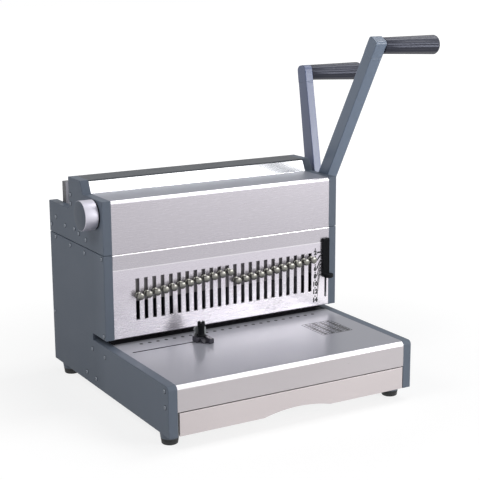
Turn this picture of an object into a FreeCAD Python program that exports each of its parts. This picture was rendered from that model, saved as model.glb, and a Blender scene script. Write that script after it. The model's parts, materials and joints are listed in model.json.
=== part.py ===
import FreeCAD, Part
import math
import os

# Manual punch and wire closing machine for loose sheets.
# Every length is in millimetres. While a piece is modelled, X is 0 in the middle of the
# casing, Y is 0 at the front of the base and Z is 0 on the floor.

# Casing
side_margin = 47.1
rear_shelf_depth = 21.8
foot_height = 17.0
base_height = 67.0
throat_height = 9.0
throat_depth = 44.5
housing_front = 184.5
lower_panel_height = 118.1
upper_panel_height = 73.6
deck_depth = 64.5
ridge_slope_depth = 8.4
ridge_depth = 42.0
ridge_rise = 17.6
shelf_drop = 27.8
rear_deck_drop = 8.0
cover_width = 12.8
cover_wall = 2.5
cover_edge_round = 1.0
cover_front_round = 6.0
seam_gap = 0.8
panel_wall = 2.0
sheet_wall = 1.5
upper_panel_round = 5.0
lower_panel_round = 1.0
lower_panel_lip = 4.0
throat_edge_round = 1.5
fold_height = 95.9
fold_lean = 0.8
frame_wall = 4.0
way_wall = 5.0
way_reach = 6.0

# Clearances
slide_gap = 0.3
shaft_gap = 0.05
seat_gap = 0.02
punch_gap = 0.06
shaft_pass_gap = 2.0

# Paper table, drawer and base
table_round = 7.0
drawer_height = 30.5
drawer_depth = 222.0
drawer_wall = 1.5
drawer_front_wall = 2.5
drawer_side_inset = 5.0
arch_width = 102.4
arch_height = 6.5
arch_offset = 2.5
drawer_rim_drop = 3.0
drawer_web_rise = 2.0
rail_height = 12.0
rail_spare = 3.0
plate_front_cut = 22.0
plate_corner_width = 24.0
foot_top_radius = 13.0
foot_bottom_radius = 10.5
foot_inset_x = 14.8
foot_inset_y = 27.5
foot_pad_height = 6.0
foot_groove = 0.6
foot_edge = 0.8

# Punching
hole_count = 23
hole_pitch = 12.7
row_offset = 1.7
slot_width = 5.7
slot_height = 58.3
slot_rise = 23.3
punch_width = 5.5
punch_depth = 4.0
punch_head = 8.0
punch_stagger = 1.38
first_bank = 12
second_bank_rise = 1.1
tip_recess = 0.5
guide_height = 19.0
die_height = 10.0
die_depth = 26.0
bar_stop_gap = 1.67
bar_height = 44.3
bar_depth = 14.0
bar_face_depth = 8.0
bar_face_gap = 3.5
pin_rise = 9.8
pin_radius = 2.25
pin_tip_radius = 1.5
pin_knob_radius = 4.6
pin_knob_length = 13.0
pin_knob_gap = 1.0
stop_depth = 5.5
paper_margin = 3.5

# Punching lever
punch_module = 2.0
punch_teeth = 22
punch_turn = 73.0
rack_stand = 15.6
rack_width = 10.0
rack_inset = 18.0
gear_backlash = 0.15
rack_first_tooth = -2
rack_last_tooth = 5
sector_first_tooth = -1
rack_end = 4.0
punch_axis_drop = 49.7
punch_shaft_radius = 8.0
punch_hub_radius = 14.0
arm_gap = 2.0
arm_spacing = 2.0
arm_hub_radius = 15.0
arm_cap_length = 26.0
arm_cap_lip = 0.4
punch_arm_length = 293.4
punch_arm_angle = 30.7
punch_arm_thickness = 18.5
punch_arm_top_width = 18.8
punch_arm_low_width = 22.5
punch_arm_round = 4.0
grip_length = 94.0
grip_root_radius = 11.5
grip_end_radius = 13.8
grip_drop = 10.7
grip_rod_radius = 5.0
grip_rod_length = 70.0

# Wire closing
closing_gap = 34.0
press_gap = 0.6
press_wall = 6.0
press_drop = 4.3
anvil_wall = 13.4
anvil_rise = 30.1
anvil_foot = 15.0
trough_depth = 16.9
closing_module = 1.5
closing_teeth = 21
closing_turn = 66.0
closing_axis_drop = 53.7
closing_axis_inset = 17.3
closing_shaft_radius = 7.0
closing_hub_radius = 12.0
closing_rack_inset = 7.0
closing_rack_width = 8.0
closing_rack_height = 6.4
closing_rail_height = 6.0
closing_rail_reach = 32.0
closing_rail_spare = 4.0
closing_rail_lip = 1.0
closing_spacer_radius = 12.5
closing_arm_length = 208.1
closing_arm_angle = -9.6
closing_arm_thickness = 13.4
closing_arm_top_width = 21.0
closing_arm_low_width = 27.0
closing_arm_round = 7.6

# Wire size adjuster on the left
knob_radius = 20.5
knob_stand = 20.8
knob_gap = 0.4
knob_bevel = 1.5
knob_axis_y = 211.4
knob_axis_drop = 21.0
spindle_radius = 5.0
spindle_seat = 12.0
spindle_end = 1.0
cam_radius = 9.0
cam_throw = 3.0
cam_width = 6.0
finger_height = 12.0
finger_inset = 2.0

# Edge guide on the table
guide_offset = 112.0
guide_y = 145.0
guide_width = 17.0
guide_length = 28.0
guide_thickness = 7.0
guide_edge_round = 0.8
guide_slot_y = 148.0
guide_slot_width = 3.0
guide_slot_margin = 9.7
tongue_length = 14.0
tongue_flange = 3.0
tongue_wall = 2.0
clamp_radius = 5.2
clamp_height = 24.0
clamp_screw_radius = 2.0
clamp_screw_reach = 4.5
clamp_hole_depth = 5.0
clamp_notch_width = 3.0
clamp_notch_depth = 2.5

# Size slider on the slot panel
slider_width = 13.6
slider_height = 55.0
slider_thickness = 6.0
slider_edge_gap = 2.1
slider_rise = 47.0
slider_travel = 25.0
slider_slot_width = 2.6
slider_slot_inset = 5.0
slider_slot_spare = 2.0
slider_stem_height = 20.0
slider_stem_drop = 36.0
slider_tab_radius = 8.0
slider_tab_wall = 4.0
slider_tab_shift = 3.0
slider_pointer = 2.5
slider_pointer_half = 2.0
slider_pointer_drop = 4.0
slider_edge_round = 1.0
slider_keeper = 4.0
slider_keeper_wall = 1.5

# Screws, bushes, ties and springs
screw_head_radius = 2.8
screw_head_height = 1.4
screw_radius = 1.5
screw_bite = 3.0
screw_clear = 0.5
boss_radius = 3.2
bush_wall = 3.0
bush_flange = 4.0
bush_lip = 2.0
bush_floor = 1.0
tie_height = 14.0
tie_depth = 10.0
tie_gap = 1.0
low_tie_gap = 12.0
spring_radius = 4.0
spring_wall = 1.2
spring_place = 100.0

# Levels above the floor
bottom_z = foot_height
table_z = bottom_z + base_height
throat_z = table_z + throat_height
seam_z = throat_z + lower_panel_height
deck_z = seam_z + upper_panel_height
ridge_z = deck_z + ridge_rise
shelf_z = deck_z - shelf_drop
trough_z = shelf_z - trough_depth
drawer_top_z = bottom_z + drawer_height
plate_z = bottom_z + sheet_wall
frame_top_z = deck_z - panel_wall
frame_rear_z = shelf_z - cover_wall
rear_deck_z = shelf_z - rear_deck_drop

# Places along X
casing_width = (hole_count - 1) * hole_pitch + side_margin * 2
outer_x = casing_width / 2
inner_x = outer_x - cover_width
frame_x = inner_x - frame_wall
rack_x = frame_x - rack_inset - rack_width
closing_rack_x = frame_x - closing_rack_inset - closing_rack_width
punch_arm_x = outer_x + arm_gap
closing_arm_x = punch_arm_x + punch_arm_thickness + arm_spacing
punch_grip_x = punch_arm_x + punch_arm_thickness
closing_grip_x = closing_arm_x + closing_arm_thickness
reach_left = outer_x + knob_stand
reach_right = closing_grip_x + grip_length
middle_x = (reach_right - reach_left) / 2
guide_x = guide_offset - inner_x
guide_slot_left = guide_slot_margin - inner_x
guide_travel = guide_x - tongue_length / 2 - slide_gap - guide_slot_left

# Places along Y
base_front_y = drawer_front_wall + slide_gap * 3
throat_back_y = housing_front + throat_depth
frame_front_y = housing_front + panel_wall
ridge_foot_y = housing_front + deck_depth
ridge_front_y = ridge_foot_y + ridge_slope_depth
ridge_rear_y = ridge_front_y + ridge_depth
press_y = ridge_rear_y + press_gap
anvil_y = press_y + press_wall + closing_gap
casing_depth = anvil_y + anvil_wall + rear_shelf_depth
rear_y = casing_depth - cover_wall
bar_face_y = housing_front + panel_wall + bar_face_gap
bar_y = bar_face_y + bar_face_depth
bar_rear_y = bar_y + bar_depth
punch_y = bar_y + bar_depth / 2
die_y = bar_face_y + panel_wall

# Gears
punch_pitch_radius = punch_module * punch_teeth / 2
closing_pitch_radius = closing_module * closing_teeth / 2
punch_stroke = punch_pitch_radius * math.radians(punch_turn)
closing_stroke = closing_pitch_radius * math.radians(closing_turn)
tooth_addendum = 0.9
tooth_dedendum = 1.25
pressure_angle = math.radians(20)
flank_steps = 5

# Lever axes
punch_rack_y = bar_rear_y + rack_stand
punch_axis_y = punch_rack_y + tooth_dedendum * punch_module + punch_pitch_radius
punch_axis_z = deck_z - punch_axis_drop
closing_axis_y = ridge_rear_y - closing_axis_inset
closing_axis_z = deck_z - closing_axis_drop
closing_rack_z = closing_axis_z - closing_pitch_radius - tooth_dedendum * closing_module
knob_axis_z = deck_z - knob_axis_drop

# Punch bar and guide
guide_top_z = throat_z + guide_height
bar_z = guide_top_z + punch_stroke + bar_stop_gap
bar_top_z = bar_z + bar_height


def hole_x(index):
    return row_offset + (index - (hole_count - 1) / 2) * hole_pitch


def bank_step(index):
    if index < first_bank:
        return punch_stagger * index
    return second_bank_rise + punch_stagger * (index - first_bank)


def pin_z(index):
    return bar_z + pin_rise + bank_step(index)


def tip_z(index):
    return throat_z + tip_recess + bank_step(index)


# Shape helpers

def block(x_low, x_high, y_low, y_high, z_low, z_high):
    corner = FreeCAD.Vector(x_low, y_low, z_low)
    return Part.makeBox(x_high - x_low, y_high - y_low, z_high - z_low, corner)


def rod_x(radius, x_low, x_high, y, z):
    return Part.makeCylinder(radius, x_high - x_low, FreeCAD.Vector(x_low, y, z), FreeCAD.Vector(1, 0, 0))


def rod_y(radius, x, y_low, y_high, z):
    return Part.makeCylinder(radius, y_high - y_low, FreeCAD.Vector(x, y_low, z), FreeCAD.Vector(0, 1, 0))


def rod_z(radius, x, y, z_low, z_high):
    return Part.makeCylinder(radius, z_high - z_low, FreeCAD.Vector(x, y, z_low), FreeCAD.Vector(0, 0, 1))


def rounded_wire(points, rounds):
    # Closed outline through the points, with an arc in place of each corner that has a radius.
    edges = []
    starts = []
    ends = []
    arcs = []
    total = len(points)
    for number in range(total):
        corner = points[number]
        radius = rounds.get(number, 0)
        if radius == 0:
            starts.append(corner)
            ends.append(corner)
            arcs.append(None)
            continue
        back = points[number - 1].sub(corner)
        ahead = points[(number + 1) % total].sub(corner)
        back.normalize()
        ahead.normalize()
        half = back.getAngle(ahead) / 2
        reach = radius / math.tan(half)
        first = corner.add(FreeCAD.Vector(back).multiply(reach))
        last = corner.add(FreeCAD.Vector(ahead).multiply(reach))
        inward = back.add(ahead)
        inward.normalize()
        middle = corner.add(inward.multiply(radius / math.sin(half) - radius))
        starts.append(first)
        ends.append(last)
        arcs.append(Part.Arc(first, middle, last).toShape())
    for number in range(total):
        if arcs[number] is not None:
            edges.append(arcs[number])
        leave = ends[number]
        reach_next = starts[(number + 1) % total]
        if leave.distanceToPoint(reach_next) > 0.001:
            edges.append(Part.LineSegment(leave, reach_next).toShape())
    return Part.Wire(edges)


def slab_x(outline, x_low, x_high, rounds=None):
    # Outline of (y, z) points, extruded along X.
    points = [FreeCAD.Vector(x_low, y, z) for y, z in outline]
    wire = rounded_wire(points, rounds or {})
    return Part.Face(wire).extrude(FreeCAD.Vector(x_high - x_low, 0, 0))


def slab_y(outline, y_low, y_high):
    # Outline of (x, z) points, extruded along Y.
    points = [FreeCAD.Vector(x, y_low, z) for x, z in outline]
    wire = rounded_wire(points, {})
    return Part.Face(wire).extrude(FreeCAD.Vector(0, y_high - y_low, 0))


def inset_outline(outline, amount):
    # The same outline, moved inwards. Its points run anticlockwise.
    total = len(outline)
    result = []
    for number in range(total):
        y0, z0 = outline[number - 1]
        y1, z1 = outline[number]
        y2, z2 = outline[(number + 1) % total]
        first = math.hypot(y1 - y0, z1 - z0)
        second = math.hypot(y2 - y1, z2 - z1)
        n1 = (-(z1 - z0) / first, (y1 - y0) / first)
        n2 = (-(z2 - z1) / second, (y2 - y1) / second)
        spread = 1 + n1[0] * n2[0] + n1[1] * n2[1]
        shift_y = (n1[0] + n2[0]) * amount / spread
        shift_z = (n1[1] + n2[1]) * amount / spread
        result.append((y1 + shift_y, z1 + shift_z))
    return result


def turned(profile, place, direction):
    # Closed profile of (distance along the axis, radius) points, turned about the axis.
    points = [FreeCAD.Vector(along, radius, 0) for along, radius in profile]
    wire = rounded_wire(points, {})
    face = Part.Face(wire)
    solid = face.revolve(FreeCAD.Vector(0, 0, 0), FreeCAD.Vector(1, 0, 0), 360)
    turn = FreeCAD.Rotation(FreeCAD.Vector(1, 0, 0), direction)
    solid.Placement = FreeCAD.Placement(place, turn)
    return solid


def fuse(shapes):
    first = shapes[0]
    rest = shapes[1:]
    if not rest:
        return first
    return first.multiFuse(rest).removeSplitter()


def cut(shape, tools):
    if not tools:
        return shape
    return shape.cut(Part.makeCompound(tools))


def save(name, shapes):
    # Written with X 0 and Y 0 in the middle of the whole machine's box.
    placed = []
    for shape in shapes:
        moved = shape.copy()
        moved.translate(FreeCAD.Vector(-middle_x, -casing_depth / 2, 0))
        placed.extend(moved.Solids)
    if len(placed) == 1:
        placed[0].exportStep("parts/" + name + ".step")
        return
    Part.makeCompound(placed).exportStep("parts/" + name + ".step")


# Places of the cover screws

def lower_screw_places():
    below_seam = seam_z - 6.5
    return [
        (casing_depth - 22, below_seam + 2),
        (ridge_rear_y, below_seam - 0.5),
        (ridge_foot_y, below_seam - 1.5),
        (housing_front + 6.5, below_seam + 1.5),
        (9.5, table_z - 7.5),
        (8.5, drawer_top_z + 8),
        (housing_front + 5.5, table_z - 15),
        (throat_back_y + 3, table_z - 14),
        (housing_front + 37, bottom_z + 12.5),
        (housing_front + 69, bottom_z + 13.5),
        (housing_front + 6, throat_z + 5.5),
        (casing_depth - 7, throat_z - 2),
    ]


def upper_screw_places(side):
    above_seam = seam_z + 11.5
    places = [
        (casing_depth - 25.5, above_seam + 13.5),
        (casing_depth - 7.5, above_seam),
        (anvil_y - 24.5, above_seam + 7),
        (punch_axis_y + 14.5, closing_axis_z - 4),
        (punch_axis_y - 10, above_seam),
        (ridge_rear_y - 7.5, shelf_z + 8.5),
        (ridge_rear_y - 7.5, shelf_z + 20.8),
    ]
    if side < 0:
        places.append((closing_axis_y, closing_axis_z))
    return places


# Side covers

def cover_shell(side, outline, rounds, holes, screws):
    # Thin shell, closed on the outside, with a rim that stands against the side frame.
    body = slab_x(outline, 0, cover_width, rounds)
    outer_edges = []
    for edge in body.Edges:
        box = edge.BoundBox
        if box.XMin > cover_width - 0.01:
            outer_edges.append(edge)
    body = body.makeFillet(cover_edge_round, outer_edges)
    pocket = slab_x(inset_outline(outline, cover_wall), -1, cover_width - cover_wall)
    body = body.cut(pocket)
    bosses = []
    drills = []
    for y, z in screws:
        bosses.append(rod_x(boss_radius, 0, cover_width - cover_wall, y, z))
        drills.append(rod_x(screw_radius + shaft_gap, -1, cover_width + 1, y, z))
    body = fuse([body] + bosses)
    for y, z, radius in holes:
        drills.append(rod_x(radius, -1, cover_width + 1, y, z))
    body = cut(body, drills)
    if side < 0:
        body = body.mirror(FreeCAD.Vector(0, 0, 0), FreeCAD.Vector(1, 0, 0))
    body.translate(FreeCAD.Vector(side * inner_x, 0, 0))
    return body


def lower_cover(side):
    outline = [
        (0, bottom_z),
        (casing_depth, bottom_z),
        (casing_depth, seam_z - seam_gap / 2),
        (housing_front, seam_z - seam_gap / 2),
        (housing_front, throat_z),
        (throat_back_y, throat_z),
        (throat_back_y, table_z),
        (0, table_z),
    ]
    return cover_shell(side, outline, {7: cover_front_round}, [], lower_screw_places())


def upper_outline():
    return [
        (housing_front, seam_z + seam_gap / 2),
        (casing_depth, seam_z + seam_gap / 2),
        (casing_depth, shelf_z),
        (ridge_rear_y, shelf_z),
        (ridge_rear_y, ridge_z),
        (ridge_front_y, ridge_z),
        (ridge_foot_y, deck_z),
        (housing_front, deck_z),
    ]


def upper_cover(side):
    if side < 0:
        holes = [(knob_axis_y, knob_axis_z, spindle_radius + 1)]
    else:
        holes = [
            (punch_axis_y, punch_axis_z, punch_shaft_radius + shaft_pass_gap),
            (closing_axis_y, closing_axis_z, closing_shaft_radius + shaft_pass_gap),
        ]
    return cover_shell(side, upper_outline(), {}, holes, upper_screw_places(side))


def cover_screws():
    screws = []
    for side in (-1, 1):
        for y, z in lower_screw_places() + upper_screw_places(side):
            profile = [
                (-cover_width - screw_bite, 0),
                (-cover_width - screw_bite, screw_radius),
                (0, screw_radius),
                (0, screw_head_radius),
                (screw_head_height * 0.5, screw_head_radius),
                (screw_head_height, screw_head_radius * 0.6),
                (screw_head_height, 0),
            ]
            place = FreeCAD.Vector(side * outer_x, y, z)
            screws.append(turned(profile, place, FreeCAD.Vector(side, 0, 0)))
    return screws


# Frame and base

def bar_ways():
    # Two ribs that guide an end of the punch bar, in front of it and behind.
    low = guide_top_z
    high = bar_top_z + slide_gap
    front = bar_y - slide_gap
    rear = bar_rear_y + slide_gap
    return [
        block(frame_x - way_reach, frame_x, front - way_wall, front, low, high),
        block(frame_x - way_reach, frame_x, rear, rear + way_wall, low, high),
    ]


def closing_rail():
    # Rail that carries a closing rack.
    high = closing_rack_z - closing_rack_height - slide_gap
    front = closing_axis_y - closing_rail_reach
    back = press_y + press_wall + closing_stroke + closing_rail_spare
    return block(closing_rack_x - closing_rail_lip, frame_x, front, back, high - closing_rail_height, high)


def side_frame(side):
    outline = [
        (base_front_y, plate_z),
        (rear_y, plate_z),
        (rear_y, frame_rear_z),
        (ridge_rear_y, frame_rear_z),
        (ridge_rear_y, frame_top_z),
        (frame_front_y, frame_top_z),
        (frame_front_y, throat_z),
        (throat_back_y, throat_z),
        (throat_back_y, table_z - panel_wall),
        (base_front_y, table_z - panel_wall),
    ]
    plate = slab_x(outline, frame_x, inner_x, {5: upper_panel_round, 9: table_round})
    frame = fuse([plate, closing_rail()] + bar_ways())
    drills = []
    for y, z in lower_screw_places() + upper_screw_places(side):
        drills.append(rod_x(screw_radius + shaft_gap, inner_x - screw_bite - screw_clear, inner_x + 1, y, z))
    if side < 0:
        drills.append(rod_x(spindle_radius + shaft_gap, frame_x - 1, inner_x + 1, knob_axis_y, knob_axis_z))
    else:
        keeper_back = housing_front + panel_wall + slider_keeper_wall + slide_gap * 2
        slider_low, slider_high = slider_slot_span()
        drills.append(block(frame_x - 1, inner_x + 1, frame_front_y - 1, keeper_back,
                            slider_low, slider_high))
        punch_bush = punch_shaft_radius + bush_wall + seat_gap
        closing_bush = closing_shaft_radius + bush_wall + seat_gap
        drills.append(rod_x(punch_bush, frame_x - 1, inner_x + 1, punch_axis_y, punch_axis_z))
        drills.append(rod_x(closing_bush, frame_x - 1, inner_x + 1, closing_axis_y, closing_axis_z))
    frame = cut(frame, drills)
    if side < 0:
        frame = frame.mirror(FreeCAD.Vector(0, 0, 0), FreeCAD.Vector(1, 0, 0))
    return frame


def base_plate():
    front = base_front_y
    plate = block(-inner_x, inner_x, front, rear_y, bottom_z, plate_z)
    window_x = inner_x - plate_corner_width
    window = block(-window_x, window_x, front - 1, front + plate_front_cut, bottom_z - 1, plate_z + 1)
    plate = plate.cut(window)
    rail_x = frame_x - drawer_side_inset + slide_gap
    rails = []
    for side in (-1, 1):
        low = min(side * rail_x, side * (rail_x + sheet_wall))
        rails.append(block(low, low + sheet_wall, front, drawer_depth + rail_spare,
                           plate_z, plate_z + rail_height))
    return fuse([plate] + rails)


def feet():
    # Conical feet with a shallow groove where the rubber pad starts.
    solids = []
    slope = (foot_top_radius - foot_bottom_radius) / foot_height
    pad_radius = foot_bottom_radius + slope * foot_pad_height
    profile = [
        (0, 0),
        (0, foot_top_radius),
        (foot_height - foot_pad_height, pad_radius),
        (foot_height - foot_pad_height, pad_radius - foot_groove),
        (foot_height - foot_pad_height + foot_groove, pad_radius - foot_groove),
        (foot_height - foot_pad_height + foot_groove, pad_radius - slope * foot_groove),
        (foot_height - foot_edge, foot_bottom_radius + slope * foot_edge),
        (foot_height, foot_bottom_radius - foot_edge),
        (foot_height, 0),
    ]
    for x in (-outer_x + foot_inset_x, outer_x - foot_inset_x):
        for y in (foot_inset_y, casing_depth - foot_inset_y):
            place = FreeCAD.Vector(x, y, foot_height)
            solids.append(turned(profile, place, FreeCAD.Vector(0, 0, -1)))
    return solids


def rear_panel():
    # Wall between the side covers, with a low deck behind the anvil.
    wall_y = casing_depth - cover_wall
    wall = block(-inner_x, inner_x, wall_y, wall_y + sheet_wall, bottom_z, rear_deck_z)
    deck = block(-frame_x, frame_x, anvil_y + anvil_wall, wall_y + sheet_wall,
                 rear_deck_z - sheet_wall, rear_deck_z)
    return fuse([wall, deck])


def tie_bars():
    upper_y = housing_front + panel_wall + tie_gap
    upper_z = knob_axis_z + tie_gap
    upper = block(-frame_x, frame_x, upper_y, upper_y + tie_depth, upper_z, upper_z + tie_height)
    rear_z = (trough_z + table_z) / 2
    rear = block(-frame_x, frame_x, anvil_y, anvil_y + tie_depth, rear_z, rear_z + tie_height)
    low_y = throat_back_y + low_tie_gap
    low = block(-frame_x, frame_x, low_y, low_y + tie_depth, table_z - tie_height, table_z)
    return [upper, rear, low]


# Table and drawer

def table_outline():
    apron_low = drawer_top_z + slide_gap
    return [
        (0, apron_low),
        (panel_wall, apron_low),
        (panel_wall, table_z - panel_wall),
        (die_y, table_z - panel_wall),
        (die_y, table_z),
        (0, table_z),
    ]


def paper_table():
    rounds = {2: table_round - panel_wall, 5: table_round}
    sheet = slab_x(table_outline(), -inner_x, inner_x, rounds)
    half = guide_slot_width / 2
    slot_right = guide_x + tongue_length / 2 + slide_gap
    slot = block(guide_slot_left, slot_right, guide_slot_y - half, guide_slot_y + half,
                 table_z - panel_wall * 2, table_z + 1)
    return sheet.cut(slot)


def chip_drawer():
    front_x = inner_x - slide_gap
    front = block(-front_x, front_x, 0, drawer_front_wall, bottom_z, drawer_top_z)
    left = arch_offset - arch_width / 2
    right = arch_offset + arch_width / 2
    start = FreeCAD.Vector(left, -1, bottom_z)
    top = FreeCAD.Vector(arch_offset, -1, bottom_z + arch_height)
    end = FreeCAD.Vector(right, -1, bottom_z)
    arc = Part.Arc(start, top, end).toShape()
    chord = Part.LineSegment(end, start).toShape()
    arch = Part.Face(Part.Wire([arc, chord])).extrude(FreeCAD.Vector(0, drawer_front_wall + 2, 0))
    front = front.cut(arch)
    side_x = frame_x - drawer_side_inset
    floor_z = plate_z + slide_gap
    rim_z = drawer_top_z - drawer_rim_drop
    front_y = drawer_front_wall + plate_front_cut / 2
    tray = block(-side_x, side_x, front_y, drawer_depth, floor_z, rim_z)
    hollow = block(-side_x + drawer_wall, side_x - drawer_wall, front_y + drawer_wall,
                   drawer_depth - drawer_wall, floor_z + drawer_wall, rim_z + 1)
    tray = tray.cut(hollow)
    web_z = bottom_z + arch_height + drawer_web_rise
    web = block(-side_x, side_x, drawer_front_wall, front_y, web_z, web_z + drawer_wall)
    return fuse([front, tray, web])


# Punching unit

def die_block():
    block_solid = block(-frame_x, frame_x, die_y, die_y + die_depth, table_z - die_height, table_z)
    half_x = punch_width / 2 + punch_gap
    half_y = punch_depth / 2 + punch_gap
    holes = []
    for index in range(hole_count):
        x = hole_x(index)
        holes.append(block(x - half_x, x + half_x, punch_y - half_y, punch_y + half_y,
                           table_z - die_height - 1, table_z + 1))
    return cut(block_solid, holes)


def punch_guide():
    solid = block(-frame_x, frame_x, die_y, die_y + die_depth, throat_z, guide_top_z)
    half_x = punch_width / 2 + punch_gap
    half_y = punch_depth / 2 + punch_gap
    holes = []
    for index in range(hole_count):
        x = hole_x(index)
        holes.append(block(x - half_x, x + half_x, punch_y - half_y, punch_y + half_y,
                           throat_z - 1, guide_top_z + 1))
    return cut(solid, holes)


def paper_stop():
    front = punch_y + punch_depth / 2 + paper_margin
    return block(-frame_x, frame_x, front, front + stop_depth, table_z, throat_z)


def rack_teeth(module):
    # Outline points of rack teeth along u, with v 0 on the root line.
    pitch = math.pi * module
    half = pitch / 4 - gear_backlash / 2
    root = half + tooth_dedendum * module * math.tan(pressure_angle)
    tip = half - tooth_addendum * module * math.tan(pressure_angle)
    height = (tooth_dedendum + tooth_addendum) * module
    points = []
    for number in range(rack_first_tooth, rack_last_tooth + 1):
        centre = (number + 0.5) * pitch
        points.append((centre - root, 0))
        points.append((centre - tip, height))
        points.append((centre + tip, height))
        points.append((centre + root, 0))
    return points


def punch_bar():
    end_x = frame_x - slide_gap
    main = block(-end_x, end_x, bar_y, bar_rear_y, bar_z, bar_top_z)
    face_left = hole_x(0) - hole_pitch / 2
    face_right = hole_x(hole_count - 2) + hole_pitch / 2
    face = block(face_left, face_right, bar_face_y, bar_y, bar_z, bar_top_z)
    parts = [main, face]
    teeth = rack_teeth(punch_module)
    post_top = punch_axis_z + teeth[-1][0] + rack_end
    for side in (-1, 1):
        low = min(side * rack_x, side * (rack_x + rack_width))
        outline = [(bar_rear_y, bar_z), (punch_rack_y, bar_z)]
        for along, out in teeth:
            outline.append((punch_rack_y + out, punch_axis_z + along))
        outline.append((punch_rack_y, post_top))
        outline.append((bar_rear_y, post_top))
        parts.append(slab_x(outline, low, low + rack_width))
    bar = fuse(parts)
    half_x = punch_width / 2 + punch_gap
    half_y = punch_depth / 2 + punch_gap
    tools = []
    for index in range(hole_count):
        x = hole_x(index)
        top = pin_z(index) + punch_head
        tools.append(block(x - half_x, x + half_x, punch_y - half_y, punch_y + half_y, bar_z - 1, top))
        tools.append(rod_y(pin_radius + shaft_gap, x, bar_face_y - 1, punch_y, pin_z(index)))
        tools.append(rod_y(pin_tip_radius + shaft_gap, x, punch_y, punch_y + punch_depth / 2 + 1,
                           pin_z(index)))
    return cut(bar, tools)


def punches():
    solids = []
    for index in range(hole_count):
        x = hole_x(index)
        blade = block(x - punch_width / 2, x + punch_width / 2, punch_y - punch_depth / 2,
                      punch_y + punch_depth / 2, tip_z(index), pin_z(index) + punch_head)
        eye = rod_y(pin_tip_radius + shaft_gap, x, punch_y - punch_depth, punch_y + punch_depth, pin_z(index))
        solids.append(blade.cut(eye))
    return solids


def pull_pin(index):
    # Turned pin: a tip in the punch, a shank in the bar and a knob in front of the panel.
    knob_back = housing_front - pin_knob_gap
    tip = punch_y + punch_depth / 2
    shoulder = punch_y - punch_depth / 2 - punch_gap - shaft_gap * 2
    reach = tip - knob_back
    step = shoulder - knob_back
    flange = pin_knob_length * 0.14
    neck = pin_knob_length * 0.3
    profile = [
        (-reach, 0),
        (-reach, pin_tip_radius),
        (-step, pin_tip_radius),
        (-step, pin_radius),
        (0, pin_radius),
        (0, pin_knob_radius),
        (flange, pin_knob_radius),
        (flange, pin_knob_radius * 0.62),
        (neck, pin_knob_radius * 0.62),
        (neck, pin_knob_radius * 0.9),
        (pin_knob_length * 0.88, pin_knob_radius),
        (pin_knob_length * 0.96, pin_knob_radius * 0.8),
        (pin_knob_length, pin_knob_radius * 0.5),
        (pin_knob_length, 0),
    ]
    place = FreeCAD.Vector(hole_x(index), knob_back, pin_z(index))
    return turned(profile, place, FreeCAD.Vector(0, -1, 0))


def slot_panel():
    fold_z = throat_z + fold_height
    top = seam_z - seam_gap / 2
    front = housing_front
    lip_y = front + lower_panel_lip
    outline = [
        (front, throat_z),
        (die_y, throat_z),
        (die_y, throat_z + sheet_wall),
        (front + panel_wall, throat_z + sheet_wall),
        (front + panel_wall, fold_z),
        (front + panel_wall - fold_lean, top - panel_wall),
        (lip_y, top - panel_wall),
        (lip_y, top),
        (front - fold_lean, top),
        (front, fold_z),
    ]
    rounds = {0: throat_edge_round, 8: lower_panel_round}
    panel = slab_x(outline, -inner_x, inner_x, rounds)
    tools = []
    slot_low = throat_z + slot_rise
    for index in range(hole_count):
        x = hole_x(index)
        tools.append(block(x - slot_width / 2, x + slot_width / 2, front - 5, front + panel_wall + 2,
                           slot_low, slot_low + slot_height))
    slot_x = inner_x - slider_slot_inset
    slider_low, slider_high = slider_slot_span()
    tools.append(block(slot_x - slider_slot_width / 2, slot_x + slider_slot_width / 2, front - 5,
                       front + panel_wall + 5, slider_low, slider_high))
    for side in (-1, 1):
        low = min(side * frame_x, side * (inner_x + 1))
        tools.append(block(low, low + frame_wall + 1, frame_front_y, die_y + 10, throat_z - 1, seam_z))
    return cut(panel, tools)


def slider_stem_span():
    high = throat_z + slider_rise + slider_height - slider_stem_drop
    return high - slider_stem_height, high


def slider_slot_span():
    stem_low, stem_high = slider_stem_span()
    return stem_low - slider_travel - slider_slot_spare, stem_high + slider_slot_spare


def size_slider():
    # Block in front of the panel, a thumb tab under it, and a stem with a keeper behind.
    right = inner_x - slider_edge_gap
    left = right - slider_width
    low = throat_z + slider_rise
    high = low + slider_height
    back = housing_front - slide_gap
    front = back - slider_thickness
    body = block(left, right, front, back, low, high)
    front_edges = [edge for edge in body.Edges if edge.BoundBox.YMax < front + 0.01]
    body = body.makeFillet(slider_edge_round, front_edges)
    pointer_z = high - slider_pointer_drop
    pointer = slab_y([(left, pointer_z - slider_pointer_half), (left, pointer_z + slider_pointer_half),
                      (left - slider_pointer, pointer_z)], back - slider_pointer, back)
    tab_x = (left + right) / 2 + slider_tab_shift
    tab = rod_z(slider_tab_radius, tab_x, front, low - slider_tab_wall * 0.8, low + slider_tab_wall * 0.2)
    behind = block(tab_x - slider_tab_radius * 2, tab_x + slider_tab_radius * 2, back,
                   back + slider_tab_radius * 2, low - slider_tab_wall * 2, low + slider_tab_wall * 2)
    tab = tab.cut(behind)
    slot_x = inner_x - slider_slot_inset
    stem_half = slider_slot_width / 2 - slide_gap
    stem_low, stem_high = slider_stem_span()
    keeper_y = housing_front + panel_wall + slide_gap
    keeper_back = keeper_y + slider_keeper_wall
    stem = block(slot_x - stem_half, slot_x + stem_half, back - 1, keeper_back, stem_low, stem_high)
    keeper = block(slot_x - slider_keeper, slot_x + slider_keeper, keeper_y, keeper_back, stem_low, stem_high)
    return fuse([body, pointer, tab, stem, keeper])


# Upper housing

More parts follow.
